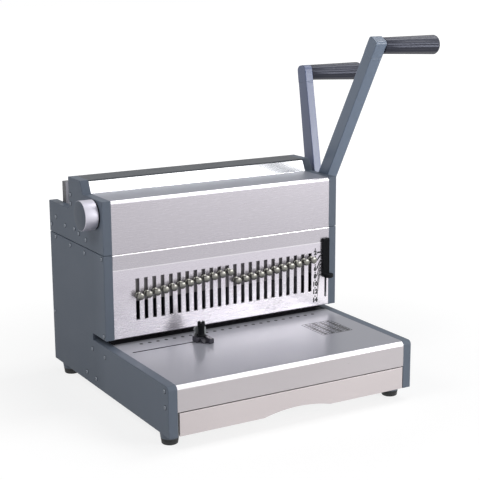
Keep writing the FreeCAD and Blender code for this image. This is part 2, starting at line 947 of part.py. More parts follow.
def front_panel():
    low = seam_z + seam_gap / 2
    outline = [
        (housing_front, low),
        (housing_front + panel_wall, low),
        (housing_front + panel_wall, frame_top_z),
        (ridge_foot_y + panel_wall, frame_top_z),
        (ridge_foot_y + panel_wall, deck_z),
        (housing_front, deck_z),
    ]
    rounds = {2: upper_panel_round - panel_wall, 5: upper_panel_round}
    return slab_x(outline, -inner_x, inner_x, rounds)


def ridge_face():
    outline = [
        (ridge_foot_y, deck_z),
        (ridge_foot_y + panel_wall, deck_z),
        (ridge_front_y + panel_wall, ridge_z - sheet_wall),
        (ridge_front_y, ridge_z - sheet_wall),
    ]
    return slab_x(outline, -inner_x, inner_x)


def ridge_cover():
    # Folded sheet: the ridge's top, its rear wall and the floor of the closing trough.
    top = block(-inner_x, inner_x, ridge_front_y - 1, ridge_rear_y, ridge_z - sheet_wall, ridge_z)
    high_wall = block(-inner_x, inner_x, ridge_rear_y - sheet_wall, ridge_rear_y, frame_top_z, ridge_z)
    low_wall = block(-frame_x, frame_x, ridge_rear_y - sheet_wall, ridge_rear_y,
                     trough_z - sheet_wall, ridge_z)
    floor = block(-frame_x, frame_x, ridge_rear_y - sheet_wall, anvil_y, trough_z - sheet_wall, trough_z)
    sheet = fuse([top, high_wall, low_wall, floor])
    gap = slide_gap * 3
    windows = []
    leg_back = press_y + press_wall + closing_stroke + gap
    for side in (-1, 1):
        low = min(side * closing_rack_x, side * (closing_rack_x + closing_rack_width))
        windows.append(block(low - gap, low + closing_rack_width + gap, ridge_rear_y - 0.5, leg_back,
                             trough_z - 5, trough_z + 1))
    finger_low, finger_high = finger_span()
    windows.append(block(finger_low - gap, finger_high + gap, ridge_rear_y - 5, ridge_rear_y + 1,
                         knob_axis_z - finger_height / 2 - gap, knob_axis_z + finger_height / 2 + gap))
    return cut(sheet, windows)


# Wire closing unit

def closing_anvil():
    low = block(-frame_x, frame_x, anvil_y, anvil_y + anvil_wall, trough_z - anvil_foot, frame_rear_z)
    high = block(-inner_x, inner_x, anvil_y, anvil_y + anvil_wall, frame_rear_z, shelf_z + anvil_rise)
    return fuse([low, high])


def finger_span():
    right = -(closing_rack_x + finger_inset)
    return right - cam_width, right


def closing_press():
    # Press plate across the trough, two legs, two racks and the finger behind the cam.
    wide = frame_x - slide_gap
    plate = block(-wide, wide, press_y, press_y + press_wall, trough_z + slide_gap * 2, ridge_z - press_drop)
    parts = [plate]
    teeth = rack_teeth(closing_module)
    rack_low = closing_rack_z - closing_rack_height
    for side in (-1, 1):
        low = min(side * closing_rack_x, side * (closing_rack_x + closing_rack_width))
        parts.append(block(low, low + closing_rack_width, press_y, press_y + press_wall, rack_low,
                           trough_z + press_wall))
        rack_front = closing_axis_y - teeth[-1][0] - rack_end / 2
        outline = [(press_y, closing_rack_z)]
        for along, out in teeth:
            outline.append((closing_axis_y - along, closing_rack_z + out))
        outline.append((rack_front, closing_rack_z))
        outline.append((rack_front, rack_low))
        outline.append((press_y, rack_low))
        parts.append(slab_x(outline, low, low + closing_rack_width))
    finger_low, finger_high = finger_span()
    finger_y = knob_axis_y + cam_radius + cam_throw + slide_gap
    parts.append(block(finger_low, finger_high, finger_y, press_y,
                       knob_axis_z - finger_height / 2, knob_axis_z + finger_height / 2))
    return fuse(parts)


def gear_sector(module, teeth, mesh_angle, hub, x_low, x_high, y, z):
    # Part of a spur gear. Tooth number 0 points along mesh_angle, measured from +Y to +Z.
    pitch_radius = module * teeth / 2
    base_radius = pitch_radius * math.cos(pressure_angle)
    tip_radius = pitch_radius + tooth_addendum * module
    root_radius = pitch_radius - tooth_dedendum * module
    half_tooth = (math.pi * module / 2 - gear_backlash) / 2 / pitch_radius
    involute = math.tan(pressure_angle) - pressure_angle
    flank = [(root_radius, half_tooth + involute)]
    for step in range(flank_steps + 1):
        radius = base_radius + (tip_radius - base_radius) * step / flank_steps
        roll = math.acos(base_radius / radius)
        flank.append((radius, half_tooth + involute - (math.tan(roll) - roll)))
    outline = [(0, 0)]
    for number in range(rack_last_tooth, sector_first_tooth - 1, -1):
        centre = math.radians(mesh_angle) - number * 2 * math.pi / teeth
        for radius, spread in flank:
            outline.append((radius * math.cos(centre - spread), radius * math.sin(centre - spread)))
        for radius, spread in reversed(flank):
            outline.append((radius * math.cos(centre + spread), radius * math.sin(centre + spread)))
    placed = [(y + u, z + v) for u, v in outline]
    sector = slab_x(placed, x_low, x_high)
    return sector.fuse(rod_x(hub, x_low, x_high, y, z))


def lever_shaft(radius, hub, module, teeth, mesh_angle, gear_x, gear_width, end_x, y, z):
    start = -frame_x + bush_floor + shaft_gap
    parts = [rod_x(radius, start, end_x, y, z)]
    for side in (-1, 1):
        low = min(side * gear_x, side * (gear_x + gear_width))
        parts.append(gear_sector(module, teeth, mesh_angle, hub, low, low + gear_width, y, z))
    return fuse(parts)


def punch_shaft():
    return lever_shaft(punch_shaft_radius, punch_hub_radius, punch_module, punch_teeth, 180,
                       rack_x, rack_width, punch_grip_x, punch_axis_y, punch_axis_z)


def closing_shaft():
    return lever_shaft(closing_shaft_radius, closing_hub_radius, closing_module, closing_teeth, 270,
                       closing_rack_x, closing_rack_width, closing_grip_x,
                       closing_axis_y, closing_axis_z)


def bush(radius, blind, y, z):
    outer = radius + bush_wall
    flange = outer + bush_lip
    bore = radius + shaft_gap
    if blind:
        cup_end = -frame_x + bush_floor * 2 + bush_flange
        cup = rod_x(flange, -frame_x, cup_end, y, z)
        return cup.cut(rod_x(bore, -frame_x + bush_floor, cup_end + 1, y, z))
    barrel = rod_x(outer, frame_x, inner_x, y, z)
    collar = rod_x(flange, frame_x - bush_flange, frame_x, y, z)
    return fuse([barrel, collar]).cut(rod_x(bore, frame_x - bush_flange - 1, inner_x + 1, y, z))


def shaft_bushes():
    solids = []
    for blind in (True, False):
        solids.append(bush(punch_shaft_radius, blind, punch_axis_y, punch_axis_z))
        solids.append(bush(closing_shaft_radius, blind, closing_axis_y, closing_axis_z))
    return solids


# Levers

def lever_arm(bar, end_round, shaft_radius, spacer_radius, spacer_x, place):
    # Tapered bar that leans from the vertical, with a hub on the shaft and a rod for the grip.
    x_low, x_high, length, low_width, top_width, angle = bar
    low_half = low_width / 2
    top_half = top_width / 2
    blade = slab_x([(-low_half, 0), (low_half, 0), (top_half, length), (-top_half, length)],
                   x_low, x_high, {2: end_round, 3: end_round})
    cap_top = top_half + arm_cap_lip
    cap_low = cap_top + (low_half - top_half) * arm_cap_length / length
    cap_round = end_round + arm_cap_lip
    cap = slab_x([(-cap_low, length - arm_cap_length), (cap_low, length - arm_cap_length),
                  (cap_top, length + arm_cap_lip), (-cap_top, length + arm_cap_lip)],
                 x_low - arm_cap_lip, x_high, {2: cap_round, 3: cap_round})
    hub = rod_x(arm_hub_radius, x_low, x_high, 0, 0)
    spacer = rod_x(spacer_radius, spacer_x, x_low + 1, 0, 0)
    rod = rod_x(grip_rod_radius, x_high - 1, x_high + grip_rod_length, 0, length - grip_drop)
    arm = fuse([blade, cap, hub, spacer, rod])
    arm = arm.cut(rod_x(shaft_radius + seat_gap, spacer_x - 1, x_high + 1, 0, 0))
    arm.rotate(FreeCAD.Vector(0, 0, 0), FreeCAD.Vector(1, 0, 0), angle)
    arm.translate(place)
    return arm


def punch_arm():
    bar = (punch_arm_x, punch_grip_x, punch_arm_length, punch_arm_low_width, punch_arm_top_width,
           punch_arm_angle)
    place = FreeCAD.Vector(0, punch_axis_y, punch_axis_z)
    spacer_x = outer_x + screw_head_height + shaft_gap * 2
    return lever_arm(bar, punch_arm_round, punch_shaft_radius, punch_hub_radius, spacer_x, place)


def closing_arm():
    bar = (closing_arm_x, closing_grip_x, closing_arm_length, closing_arm_low_width,
           closing_arm_top_width, closing_arm_angle)
    place = FreeCAD.Vector(0, closing_axis_y, closing_axis_z)
    return lever_arm(bar, closing_arm_round, closing_shaft_radius, closing_spacer_radius,
                     outer_x + arm_gap / 2, place)


def lever_grip(start, length, angle, axis_y, axis_z):
    round_off = grip_end_radius * 0.3
    profile = [
        (0, 0),
        (0, grip_root_radius),
        (grip_length - round_off, grip_end_radius),
        (grip_length - round_off * 0.3, grip_end_radius - round_off * 0.3),
        (grip_length, grip_end_radius - round_off),
        (grip_length, 0),
    ]
    turn = math.radians(angle)
    reach = length - grip_drop
    y = axis_y - reach * math.sin(turn)
    z = axis_z + reach * math.cos(turn)
    grip = turned(profile, FreeCAD.Vector(start, y, z), FreeCAD.Vector(1, 0, 0))
    bore = rod_x(grip_rod_radius + shaft_gap, start - 1, start + grip_rod_length + 1, y, z)
    return grip.cut(bore)


def punch_grip():
    return lever_grip(punch_grip_x, punch_arm_length, punch_arm_angle, punch_axis_y, punch_axis_z)


def closing_grip():
    return lever_grip(closing_grip_x, closing_arm_length, closing_arm_angle, closing_axis_y, closing_axis_z)


def return_springs():
    # Drawn as sleeves of the coils' outer size, from the punch bar up to the upper tie bar.
    y = bar_face_y + bar_face_depth / 2
    high = knob_axis_z + tie_gap
    solids = []
    for x in (-spring_place, spring_place):
        outer = rod_z(spring_radius, x, y, bar_top_z, high)
        solids.append(outer.cut(rod_z(spring_radius - spring_wall, x, y, bar_top_z - 1, high + 1)))
    return solids


# Wire size adjuster

def adjuster_spindle():
    finger_low, finger_high = finger_span()
    start = -outer_x - spindle_seat
    shaft = rod_x(spindle_radius, start, finger_high + spindle_end, knob_axis_y, knob_axis_z)
    cam = rod_x(cam_radius, finger_low, finger_high, knob_axis_y + cam_throw, knob_axis_z)
    return fuse([shaft, cam])


def adjuster_knob():
    length = knob_stand - knob_gap
    profile = [
        (0, 0),
        (0, knob_radius - knob_bevel),
        (knob_bevel, knob_radius),
        (length - knob_bevel, knob_radius),
        (length, knob_radius - knob_bevel),
        (length, 0),
    ]
    place = FreeCAD.Vector(-outer_x - knob_gap, knob_axis_y, knob_axis_z)
    knob = turned(profile, place, FreeCAD.Vector(-1, 0, 0))
    bore = rod_x(spindle_radius + seat_gap, -outer_x - spindle_seat - shaft_gap, -outer_x,
                 knob_axis_y, knob_axis_z)
    return knob.cut(bore)


# Edge guide

def edge_guide():
    low = table_z + slide_gap
    high = low + guide_thickness
    half_w = guide_width / 2
    half_l = guide_length / 2
    body = block(guide_x - half_w, guide_x + half_w, guide_y - half_l, guide_y + half_l, low, high)
    top_edges = [edge for edge in body.Edges if edge.BoundBox.ZMin > low + 0.01]
    body = body.makeFillet(guide_edge_round, top_edges)
    tongue_half = guide_slot_width / 2 - slide_gap
    under = table_z - panel_wall - slide_gap
    tongue = block(guide_x - tongue_length / 2, guide_x + tongue_length / 2, guide_slot_y - tongue_half,
                   guide_slot_y + tongue_half, under - tongue_wall / 2, low + 1)
    flange = block(guide_x - tongue_length / 2, guide_x + tongue_length / 2,
                   guide_slot_y - tongue_half - tongue_flange, guide_slot_y + tongue_half + tongue_flange,
                   under - tongue_wall, under)
    guide = fuse([body, tongue, flange])
    hole = rod_z(clamp_screw_radius + shaft_gap, guide_x, guide_y, high - clamp_hole_depth, high + 1)
    return guide.cut(hole)


def guide_knob():
    low = table_z + slide_gap * 2 + guide_thickness
    high = low + clamp_height
    body = rod_z(clamp_radius, guide_x, guide_y, low, high)
    top_edges = [edge for edge in body.Edges if edge.BoundBox.ZMin > high - 0.01]
    body = body.makeFillet(guide_edge_round, top_edges)
    notch = block(guide_x - clamp_notch_width / 2, guide_x + clamp_notch_width / 2, guide_y - 10,
                  guide_y + 10, high - clamp_notch_depth, high + 1)
    body = body.cut(notch)
    screw = rod_z(clamp_screw_radius, guide_x, guide_y, low - clamp_screw_reach, low + 1)
    return fuse([body, screw])


def main():
    os.makedirs("parts", exist_ok=True)
    save("left_lower_cover", [lower_cover(-1)])
    save("right_lower_cover", [lower_cover(1)])
    save("left_upper_cover", [upper_cover(-1)])
    save("right_upper_cover", [upper_cover(1)])
    save("cover_screws", cover_screws())
    save("left_side_frame", [side_frame(-1)])
    save("right_side_frame", [side_frame(1)])
    save("base_plate", [base_plate()])
    save("feet", feet())
    save("rear_panel", [rear_panel()])
    save("tie_bars", tie_bars())
    save("paper_table", [paper_table()])
    save("chip_drawer", [chip_drawer()])
    save("die_block", [die_block()])
    save("punch_guide", [punch_guide()])
    save("paper_stop", [paper_stop()])
    save("punch_bar", [punch_bar()])
    save("punches", punches())
    for index in range(hole_count):
        save("pull_pin_%02d" % (index + 1), [pull_pin(index)])
    save("slot_panel", [slot_panel()])
    save("size_slider", [size_slider()])
    save("front_panel", [front_panel()])
    save("ridge_face", [ridge_face()])
    save("ridge_cover", [ridge_cover()])
    save("closing_anvil", [closing_anvil()])
    save("closing_press", [closing_press()])
    save("punch_shaft", [punch_shaft()])
    save("closing_shaft", [closing_shaft()])
    save("shaft_bushes", shaft_bushes())
    save("punch_arm", [punch_arm()])
    save("closing_arm", [closing_arm()])
    save("punch_grip", [punch_grip()])
    save("closing_grip", [closing_grip()])
    save("return_springs", return_springs())
    save("adjuster_spindle", [adjuster_spindle()])
    save("adjuster_knob", [adjuster_knob()])
    save("edge_guide", [edge_guide()])
    save("guide_knob", [guide_knob()])


main()
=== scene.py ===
import json
import math
from typing import NamedTuple

import bmesh
import bpy
from bpy.props import FloatProperty, FloatVectorProperty, IntProperty, PointerProperty
from bpy.types import Operator, Panel, PropertyGroup
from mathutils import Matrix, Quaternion, Vector

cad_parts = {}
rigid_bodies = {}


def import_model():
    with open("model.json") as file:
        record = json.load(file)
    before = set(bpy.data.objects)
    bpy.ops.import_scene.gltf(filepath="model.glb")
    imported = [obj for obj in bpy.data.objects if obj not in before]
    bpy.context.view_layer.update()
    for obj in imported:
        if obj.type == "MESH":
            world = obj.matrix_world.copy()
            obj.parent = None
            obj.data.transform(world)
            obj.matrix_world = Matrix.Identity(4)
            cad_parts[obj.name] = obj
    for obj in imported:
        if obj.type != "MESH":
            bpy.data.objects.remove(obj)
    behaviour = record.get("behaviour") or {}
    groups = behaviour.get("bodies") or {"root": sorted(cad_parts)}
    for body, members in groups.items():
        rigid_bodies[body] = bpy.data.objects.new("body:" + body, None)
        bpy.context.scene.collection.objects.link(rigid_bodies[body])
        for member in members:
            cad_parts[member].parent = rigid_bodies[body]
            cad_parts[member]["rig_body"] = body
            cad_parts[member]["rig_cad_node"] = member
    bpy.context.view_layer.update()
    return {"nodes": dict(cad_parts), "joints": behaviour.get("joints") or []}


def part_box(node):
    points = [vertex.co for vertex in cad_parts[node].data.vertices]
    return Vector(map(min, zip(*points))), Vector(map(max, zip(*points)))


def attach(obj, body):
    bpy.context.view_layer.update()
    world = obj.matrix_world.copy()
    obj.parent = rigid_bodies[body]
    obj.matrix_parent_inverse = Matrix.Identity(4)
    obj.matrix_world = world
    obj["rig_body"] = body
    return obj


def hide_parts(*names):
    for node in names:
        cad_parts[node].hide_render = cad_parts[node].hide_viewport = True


bl_info = {
    "name": "Punch and wire closing machine",
    "version": (1, 0, 0),
    "blender": (4, 5, 0),
    "location": "3D View > Sidebar > Machine",
    "description": "Builds the finished look of a desk machine that punches sheets and closes wire spines",
    "category": "Object",
}

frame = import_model()
MM = 0.001
NEAR = 0.05 * MM
FRONT = Vector((0, -1, 0))
UP = Vector((0, 0, 1))

# Places of the pieces in the frame
casing_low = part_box("left_lower_cover")[0]
casing_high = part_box("right_lower_cover")[1]
panel_low, panel_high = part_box("slot_panel")
upper_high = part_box("front_panel")[1]
table_low, table_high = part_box("paper_table")
middle_x = (casing_low.x + casing_high.x) / 2
panel_face = casing_low.y + 184.5 * MM
joint_place = {joint["name"]: Vector(joint["pos_m"]) for joint in frame["joints"] if "pos_m" in joint}
pin_names = sorted(name for name in frame["nodes"] if name.startswith("pull_pin_"))


def srgb(*screen_colour):
    """A colour as a screen shows it, 0 to 255, in the linear values that a shader takes."""
    values = [part / 255 for part in screen_colour]
    return tuple(value / 12.92 if value <= 0.04045 else ((value + 0.055) / 1.055) ** 2.4 for value in values)


def centre_of(node):
    low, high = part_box(node)
    return (low + high) / 2


def measure(name, description, millimetres):
    return FloatProperty(name=name, description=description, default=millimetres * MM, min=0, unit="LENGTH")


def shade(name, description, *screen_colour):
    return FloatVectorProperty(name=name, description=description, default=srgb(*screen_colour), size=3,
                               min=0, max=1, subtype="COLOR")


class MachineSizes(PropertyGroup):
    edge_softness: measure("Edge softness", "Rounding of the sheet metal's cut edges", 0.35)
    punch_arm_thickness: measure("Punch arm thickness", "Thickness of the front lever's bar", 18.5)
    punch_arm_top: measure("Punch arm top", "Width of the front lever at its top", 18.8)
    punch_arm_low: measure("Punch arm low", "Width of the front lever at its hub", 22.5)
    punch_arm_corner: measure("Punch arm corner", "Round of the front lever's top", 4.4)
    closing_arm_thickness: measure("Closing arm thickness", "Thickness of the rear lever's bar", 13.4)
    closing_arm_top: measure("Closing arm top", "Width of the rear lever at its top", 21)
    closing_arm_low: measure("Closing arm low", "Width of the rear lever at its hub", 27)
    closing_arm_corner: measure("Closing arm corner", "Round of the rear lever's top", 8)
    punch_seat: measure("Punch shaft seat", "Radius of the recess around the front shaft's end", 9.2)
    closing_seat: measure("Closing shaft seat", "Radius of the recess around the rear shaft's end", 8.2)
    arm_edge: measure("Arm edge", "Rounding along a lever's bar", 1.1)
    arm_cap: measure("Arm cap", "Length of the cap at a lever's top", 26)
    arm_lip: measure("Arm lip", "How far the cap stands proud of the bar", 0.25)
    grip_drop: measure("Grip drop", "From the lever's top down to the grip's middle", 10.7)
    grip_root: measure("Grip root", "Radius of a grip beside the lever", 11.5)
    grip_end: measure("Grip end", "Radius of a grip at its free end", 13.8)
    grip_sag: FloatProperty(name="Grip sag", description="Drop over a grip's length", min=0, default=0.02)
    grip_grooves: IntProperty(name="Grip grooves", description="Grooves around a grip", default=12, min=3)
    groove_depth: measure("Groove depth", "Depth of the grooves along a grip", 0.7)
    pin_knob: measure("Pin knob", "Radius of the knob of a pull pin", 5.0)
    print_rise: measure("Print rise", "Thickness of the printed marks", 0.04)


class MachineColours(PropertyGroup):
    casing: shade("Casing", "Powder coat of the side covers", 93, 102, 115)
    # Painted light: the same powder coat as casing, lighter towards the front as if lit from the front.
    casing_front: shade("Casing front", "Powder coat towards the front edge", 103, 112, 125)
    panel: shade("Slot panel", "Anodised panel with the slots", 203, 198, 207)
    # Painted reflection: the lower part of the slot panel is lighter, standing in for the table's light that
    # it mirrors.
    panel_foot: shade("Slot panel foot", "Lower part of the slot panel", 242, 237, 244)
    upper: shade("Upper panel", "Anodised upper front panel", 180, 176, 183)
    # Painted highlight: a light line along the fold, where its bend would catch the light.
    fold_highlight: shade("Fold edge", "Burnished line of the fold", 228, 225, 230)
    # Painted shade: the band above the fold is darker, as it leans and catches less light.
    fold: shade("Fold", "Top band of the slot panel, above its fold", 184, 180, 187)
    # Painted highlight: light lines on the rounded edges of the front metal.
    bend: shade("Bend", "Burnished bends and edges of the front metal", 246, 243, 247)
    deck: shade("Deck", "Top of the upper panel, behind its round edge", 147, 150, 161)
    table: shade("Table", "Top of the paper table", 158, 159, 168)
    # Painted reflection: the table is lighter beside the slot panel, standing in for the panel's light that
    # it mirrors.
    table_rear_reflection: shade("Table rear", "Top of the paper table, beside the slot panel", 184, 185, 193)
    apron: shade("Apron", "Front of the paper table", 199, 193, 196)
    drawer: shade("Drawer", "Front of the drawer", 203, 195, 196)
    ridge: shade("Ridge", "Top of the ridge", 69, 73, 79)
    arm: shade("Levers", "Paint of the front lever", 103, 118, 139)
    # Painted shade: the rear lever has the same paint as the front lever, darker for the shade it stands in.
    rear_arm: shade("Rear lever", "Paint of the rear lever", 88, 100, 136)
    grip: shade("Grips", "Fluted grips of the levers", 26, 27, 38)
    black: shade("Black parts", "Slider and clamp knob", 27, 28, 31)
    pin: shade("Pull pins", "Knob of a pull pin", 124, 123, 118)
    # Painted shade: the collar is a little darker, in the knob's shade.
    collar: shade("Pin collars", "Collar of a pull pin, a little darker", 116, 115, 110)
    ink: shade("Ink", "Printed marks", 24, 24, 29)


# Mesh helpers

def clear_selection():
    if bpy.context.mode != "OBJECT":
        bpy.ops.object.mode_set(mode="OBJECT")
    bpy.ops.object.select_all(action="DESELECT")


def choose(piece):
    clear_selection()
    piece.select_set(True)
    bpy.context.view_layer.objects.active = piece


def settle(piece):
    """Moves the piece's place, turn and size into its mesh."""
    choose(piece)
    bpy.ops.object.transform_apply(location=True, rotation=True, scale=True)
    return piece


def named(name):
    """The piece that an operator has just made, with its name."""
    piece = bpy.context.object
    piece.name = name
    return piece


def start_edit(piece, mode="FACE", action="SELECT"):
    """Starts edit mode with everything or nothing selected."""
    choose(piece)
    bpy.ops.object.mode_set(mode="EDIT")
    bpy.ops.mesh.select_mode(type=mode)
    bpy.ops.mesh.select_all(action=action)


def end_edit():
    bpy.ops.object.mode_set(mode="OBJECT")


def modify(piece, kind, **values):
    choose(piece)
    modifier = piece.modifiers.new(kind.lower(), kind)
    for name, value in values.items():
        setattr(modifier, name, value)
    bpy.ops.object.modifier_apply(modifier=modifier.name)
    return piece


def smooth(piece, angle=35):
    choose(piece)
    bpy.ops.object.shade_smooth_by_angle(angle=math.radians(angle))
    return piece


def soften(piece, width, segments=2):
    """Rounds the edges that turn by more than 35 degrees."""
    modify(piece, "BEVEL", width=width, segments=segments, limit_method="ANGLE",
           angle_limit=math.radians(35), use_clamp_overlap=True)
    smooth(piece)
    return modify(piece, "WEIGHTED_NORMAL", keep_sharp=True)


def block(name, low, high):
    clear_selection()
    low, high = Vector(low), Vector(high)
    bpy.ops.mesh.primitive_cube_add(size=1, location=(low + high) / 2, scale=high - low)
    return settle(named(name))


def disc(place, radius, sides):
    clear_selection()
    bpy.ops.mesh.primitive_circle_add(vertices=sides, radius=radius, fill_type="NGON", location=place)
    return settle(bpy.context.object)


def in_mm(*rings):
    """Rings of a profile that are written in millimetres."""
    return [(height * MM, radius * MM) for height, radius in rings]


def turned(name, rings, sides=48):
    """Solid of revolution along +Z. Each ring is a height and a radius."""
    height, radius = rings[0]
    piece = disc((0, 0, height), radius, sides)
    piece.name = name
    start_edit(piece)
    for next_height, next_radius in rings[1:]:
        bpy.ops.mesh.extrude_region_move(TRANSFORM_OT_translate={"value": (0, 0, next_height - height)})
        share = next_radius / radius
        bpy.ops.transform.resize(value=(share, share, 1), center_override=(0, 0, next_height))
        height, radius = next_height, next_radius
    bpy.ops.mesh.select_all(action="SELECT")
    bpy.ops.mesh.normals_make_consistent(inside=False)
    end_edit()
    return piece


def stand(piece, place, axis, spin=0):
    """Turns a piece that was made along +Z to the axis, spins it about it, and puts it at the place."""
    piece.rotation_mode = "QUATERNION"
    piece.rotation_quaternion = Vector(axis).to_track_quat("Z", "Y") @ Quaternion((0, 0, 1), spin)
    piece.location = place
    return settle(piece)


def copy_of(piece, name):
    choose(piece)
    bpy.ops.object.duplicate(linked=False)
    return named(name)


def join(name, pieces):
    choose(pieces[0])
    for piece in pieces:
        piece.select_set(True)
    bpy.ops.object.join()
    return named(name)


def node_copy(node, name):
    """A copy of a CAD node with its loose triangles merged."""
    piece = copy_of(frame["nodes"][node], name)
    bpy.ops.object.parent_clear(type="CLEAR_KEEP_TRANSFORM")
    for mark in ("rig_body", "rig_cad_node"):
        if mark in piece:
            del piece[mark]
    bpy.ops.mesh.customdata_custom_splitnormals_clear()
    start_edit(piece)
    bpy.ops.mesh.remove_doubles(threshold=0.005 * MM)
    bpy.ops.mesh.dissolve_limited(angle_limit=math.radians(0.5))
    end_edit()
    return piece


def cut_out(piece, tool):
    """Cuts the tool's shape out of the piece, and removes the tool."""
    modify(piece, "BOOLEAN", operation="DIFFERENCE", object=tool)
    bpy.data.objects.remove(tool)
    return piece


def reshape(piece, kind, test, operator, **values):
    """Runs an operator of edit mode on the verts, edges or faces that pass the test."""
    start_edit(piece, kind[:-1].upper(), "DESELECT")
    mesh = bmesh.from_edit_mesh(piece.data)
    for item in getattr(mesh, kind):
        if test(item):
            item.select_set(True)
    mesh.select_flush_mode()
    bmesh.update_edit_mesh(piece.data)
    operator(**values)
    end_edit()
    return piece


def round_edges(piece, width, segments, test):
    return reshape(piece, "edges", test, bpy.ops.mesh.bevel, offset=width, segments=segments, affect="EDGES")


def shift_verts(piece, move, test):
    """Moves the verts whose place passes the test."""
    return reshape(piece, "verts", lambda vert: test(vert.co), bpy.ops.transform.translate, value=move)


def scale_verts(piece, shares, test, centre=(0, 0, 0)):
    """Scales the verts whose place passes the test, towards the centre."""
    return reshape(piece, "verts", lambda vert: test(vert.co), bpy.ops.transform.resize, value=shares,
                   center_override=centre)


def finish_faces(piece, finish, test):
    """Gives the faces that pass the test a finish of their own."""
    piece.data.materials.append(materials[finish])
    piece.active_material_index = len(piece.data.materials) - 1
    return reshape(piece, "faces", test, bpy.ops.object.material_slot_assign)


def paint(piece, finish):
    piece.data.materials.clear()
    piece.data.materials.append(materials[finish])


def dress(piece, finish, body, slot, *nodes):
    """Gives a finished piece its material and its body, and hides the CAD nodes that it stands for. The slot
    is not used.
    """
    paint(piece, finish)
    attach(piece, body)
    if nodes:
        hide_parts(*nodes)
    return piece


# Shader nodes

class NodeLayout:
    """Small help to lay out the nodes of a material, a world or a shader group."""

    def __init__(self, tree):
        self.tree = tree

    def feed(self, socket, value):
        """Links another node's output to the socket, or sets a plain value."""
        if isinstance(value, bpy.types.NodeSocket):
            self.tree.links.new(value, socket)
        else:
            socket.default_value = value

    def give(self, node, **values):
        """Feeds a node's inputs by their names."""
        for name, value in values.items():
            self.feed(node.inputs[name.replace("_", " ")], value)

    def node(self, kind, *values, settings=None, **named):
        """Adds a node, and feeds its inputs in their order or by their names."""
        made = self.tree.nodes.new("ShaderNode" + kind)
        for name, value in (settings or {}).items():
            setattr(made, name, value)
        for number, value in enumerate(values):
            self.feed(made.inputs[number], value)
        self.give(made, **named)
        return made

    def maths(self, operation, first, second=0.0):
        return self.node("Math", first, second, settings={"operation": operation}).outputs[0]

    def map_range(self, value, **limits):
        return self.node("MapRange", value, **limits).outputs["Result"]

    def noise(self, place, scale, detail=2.0):
        return self.node("TexNoise", Vector=place, Scale=scale, Detail=detail).outputs["Fac"]

    def varied(self, base, noise, spread):
        """The base value, raised and lowered with a noise."""
        change = self.maths("SUBTRACT", noise, 0.5)
        return self.maths("ADD", base, self.maths("MULTIPLY", change, spread))


SURFACE_INPUTS = {
    "Place": "Vector", "Colour": "Color", "Tone spread": "Float", "Roughness": "Float",
    "Roughness spread": "Float", "Grain scale": "Float", "Grain depth": "Float",
}
SURFACE_OUTPUTS = {"Colour": "Color", "Roughness": "Float", "Normal": "Vector"}
LINE_STRETCH = (0.02, 1, 1)


def start_group(name):
    """A new shader group with the inputs that every finish has."""
    tree = bpy.data.node_groups.new(name, "ShaderNodeTree")
    for sockets, side in ((SURFACE_INPUTS, "INPUT"), (SURFACE_OUTPUTS, "OUTPUT")):
        for label, kind in sockets.items():
            tree.interface.new_socket(name=label, in_out=side, socket_type="NodeSocket" + kind)
    return NodeLayout(tree), tree.nodes.new("NodeGroupInput").outputs


def end_group(layout, inputs, tone, gloss, height):
    """Ends a shader group with the noises for its tone, its roughness and its height."""
    value = layout.varied(1.0, tone, inputs["Tone spread"])
    colour = layout.node("HueSaturation", Color=inputs["Colour"], Value=value).outputs["Color"]
    roughness = layout.varied(inputs["Roughness"], gloss, inputs["Roughness spread"])
    normal = layout.node("Bump", Height=height, Distance=inputs["Grain depth"]).outputs["Normal"]
    layout.give(layout.tree.nodes.new("NodeGroupOutput"), Colour=colour, Roughness=roughness, Normal=normal)
    return layout.tree


def grain_group():
    """Powder coat or moulded plastic: fine pebbles, and slow changes of tone and gloss."""
    layout, inputs = start_group("Fine grain")
    place = inputs["Place"]
    grain = layout.noise(place, inputs["Grain scale"], 3.0)
    return end_group(layout, inputs, layout.noise(place, 7.0, 3.0), layout.noise(place, 28.0, 4.0), grain)


def brushed_group():
    """Brushed sheet: fine lines along X, with slow changes of tone and gloss."""
    layout, inputs = start_group("Brushed lines")
    place = inputs["Place"]
    drawn = layout.node("VectorMath", place, LINE_STRETCH, settings={"operation": "MULTIPLY"}).outputs[0]
    lines = layout.noise(drawn, inputs["Grain scale"])
    tone = layout.varied(layout.noise(place, 5.0), layout.noise(drawn, 160.0), 0.2)
    return end_group(layout, inputs, tone, lines, lines)


def lathe_group():
    """Turned metal: rings about the local Z axis of Place."""
    layout, inputs = start_group("Turned rings")
    place = inputs["Place"]
    split = layout.node("SeparateXYZ", place).outputs
    squares = [layout.maths("POWER", split[axis], 2.0) for axis in ("X", "Y")]
    across = layout.maths("SQRT", layout.maths("ADD", *squares))
    rings = layout.node("CombineXYZ", across, split["Z"]).outputs[0]
    lines = layout.noise(rings, inputs["Grain scale"])
    return end_group(layout, inputs, layout.noise(place, 40.0), lines, lines)


# Finishes

class Finish(NamedTuple):
    """A surface's look. The colour is a name in MachineColours or a screen colour, the depth in mm."""
    group: str
    colour: object
    roughness: float
    roughness_spread: float
    tone_spread: float
    grain_scale: float
    grain_depth: float
    metallic: float = 0.0
    gloss: float = 0.5
    coat: float = 0.0
    tint: tuple = (1, 1, 1)


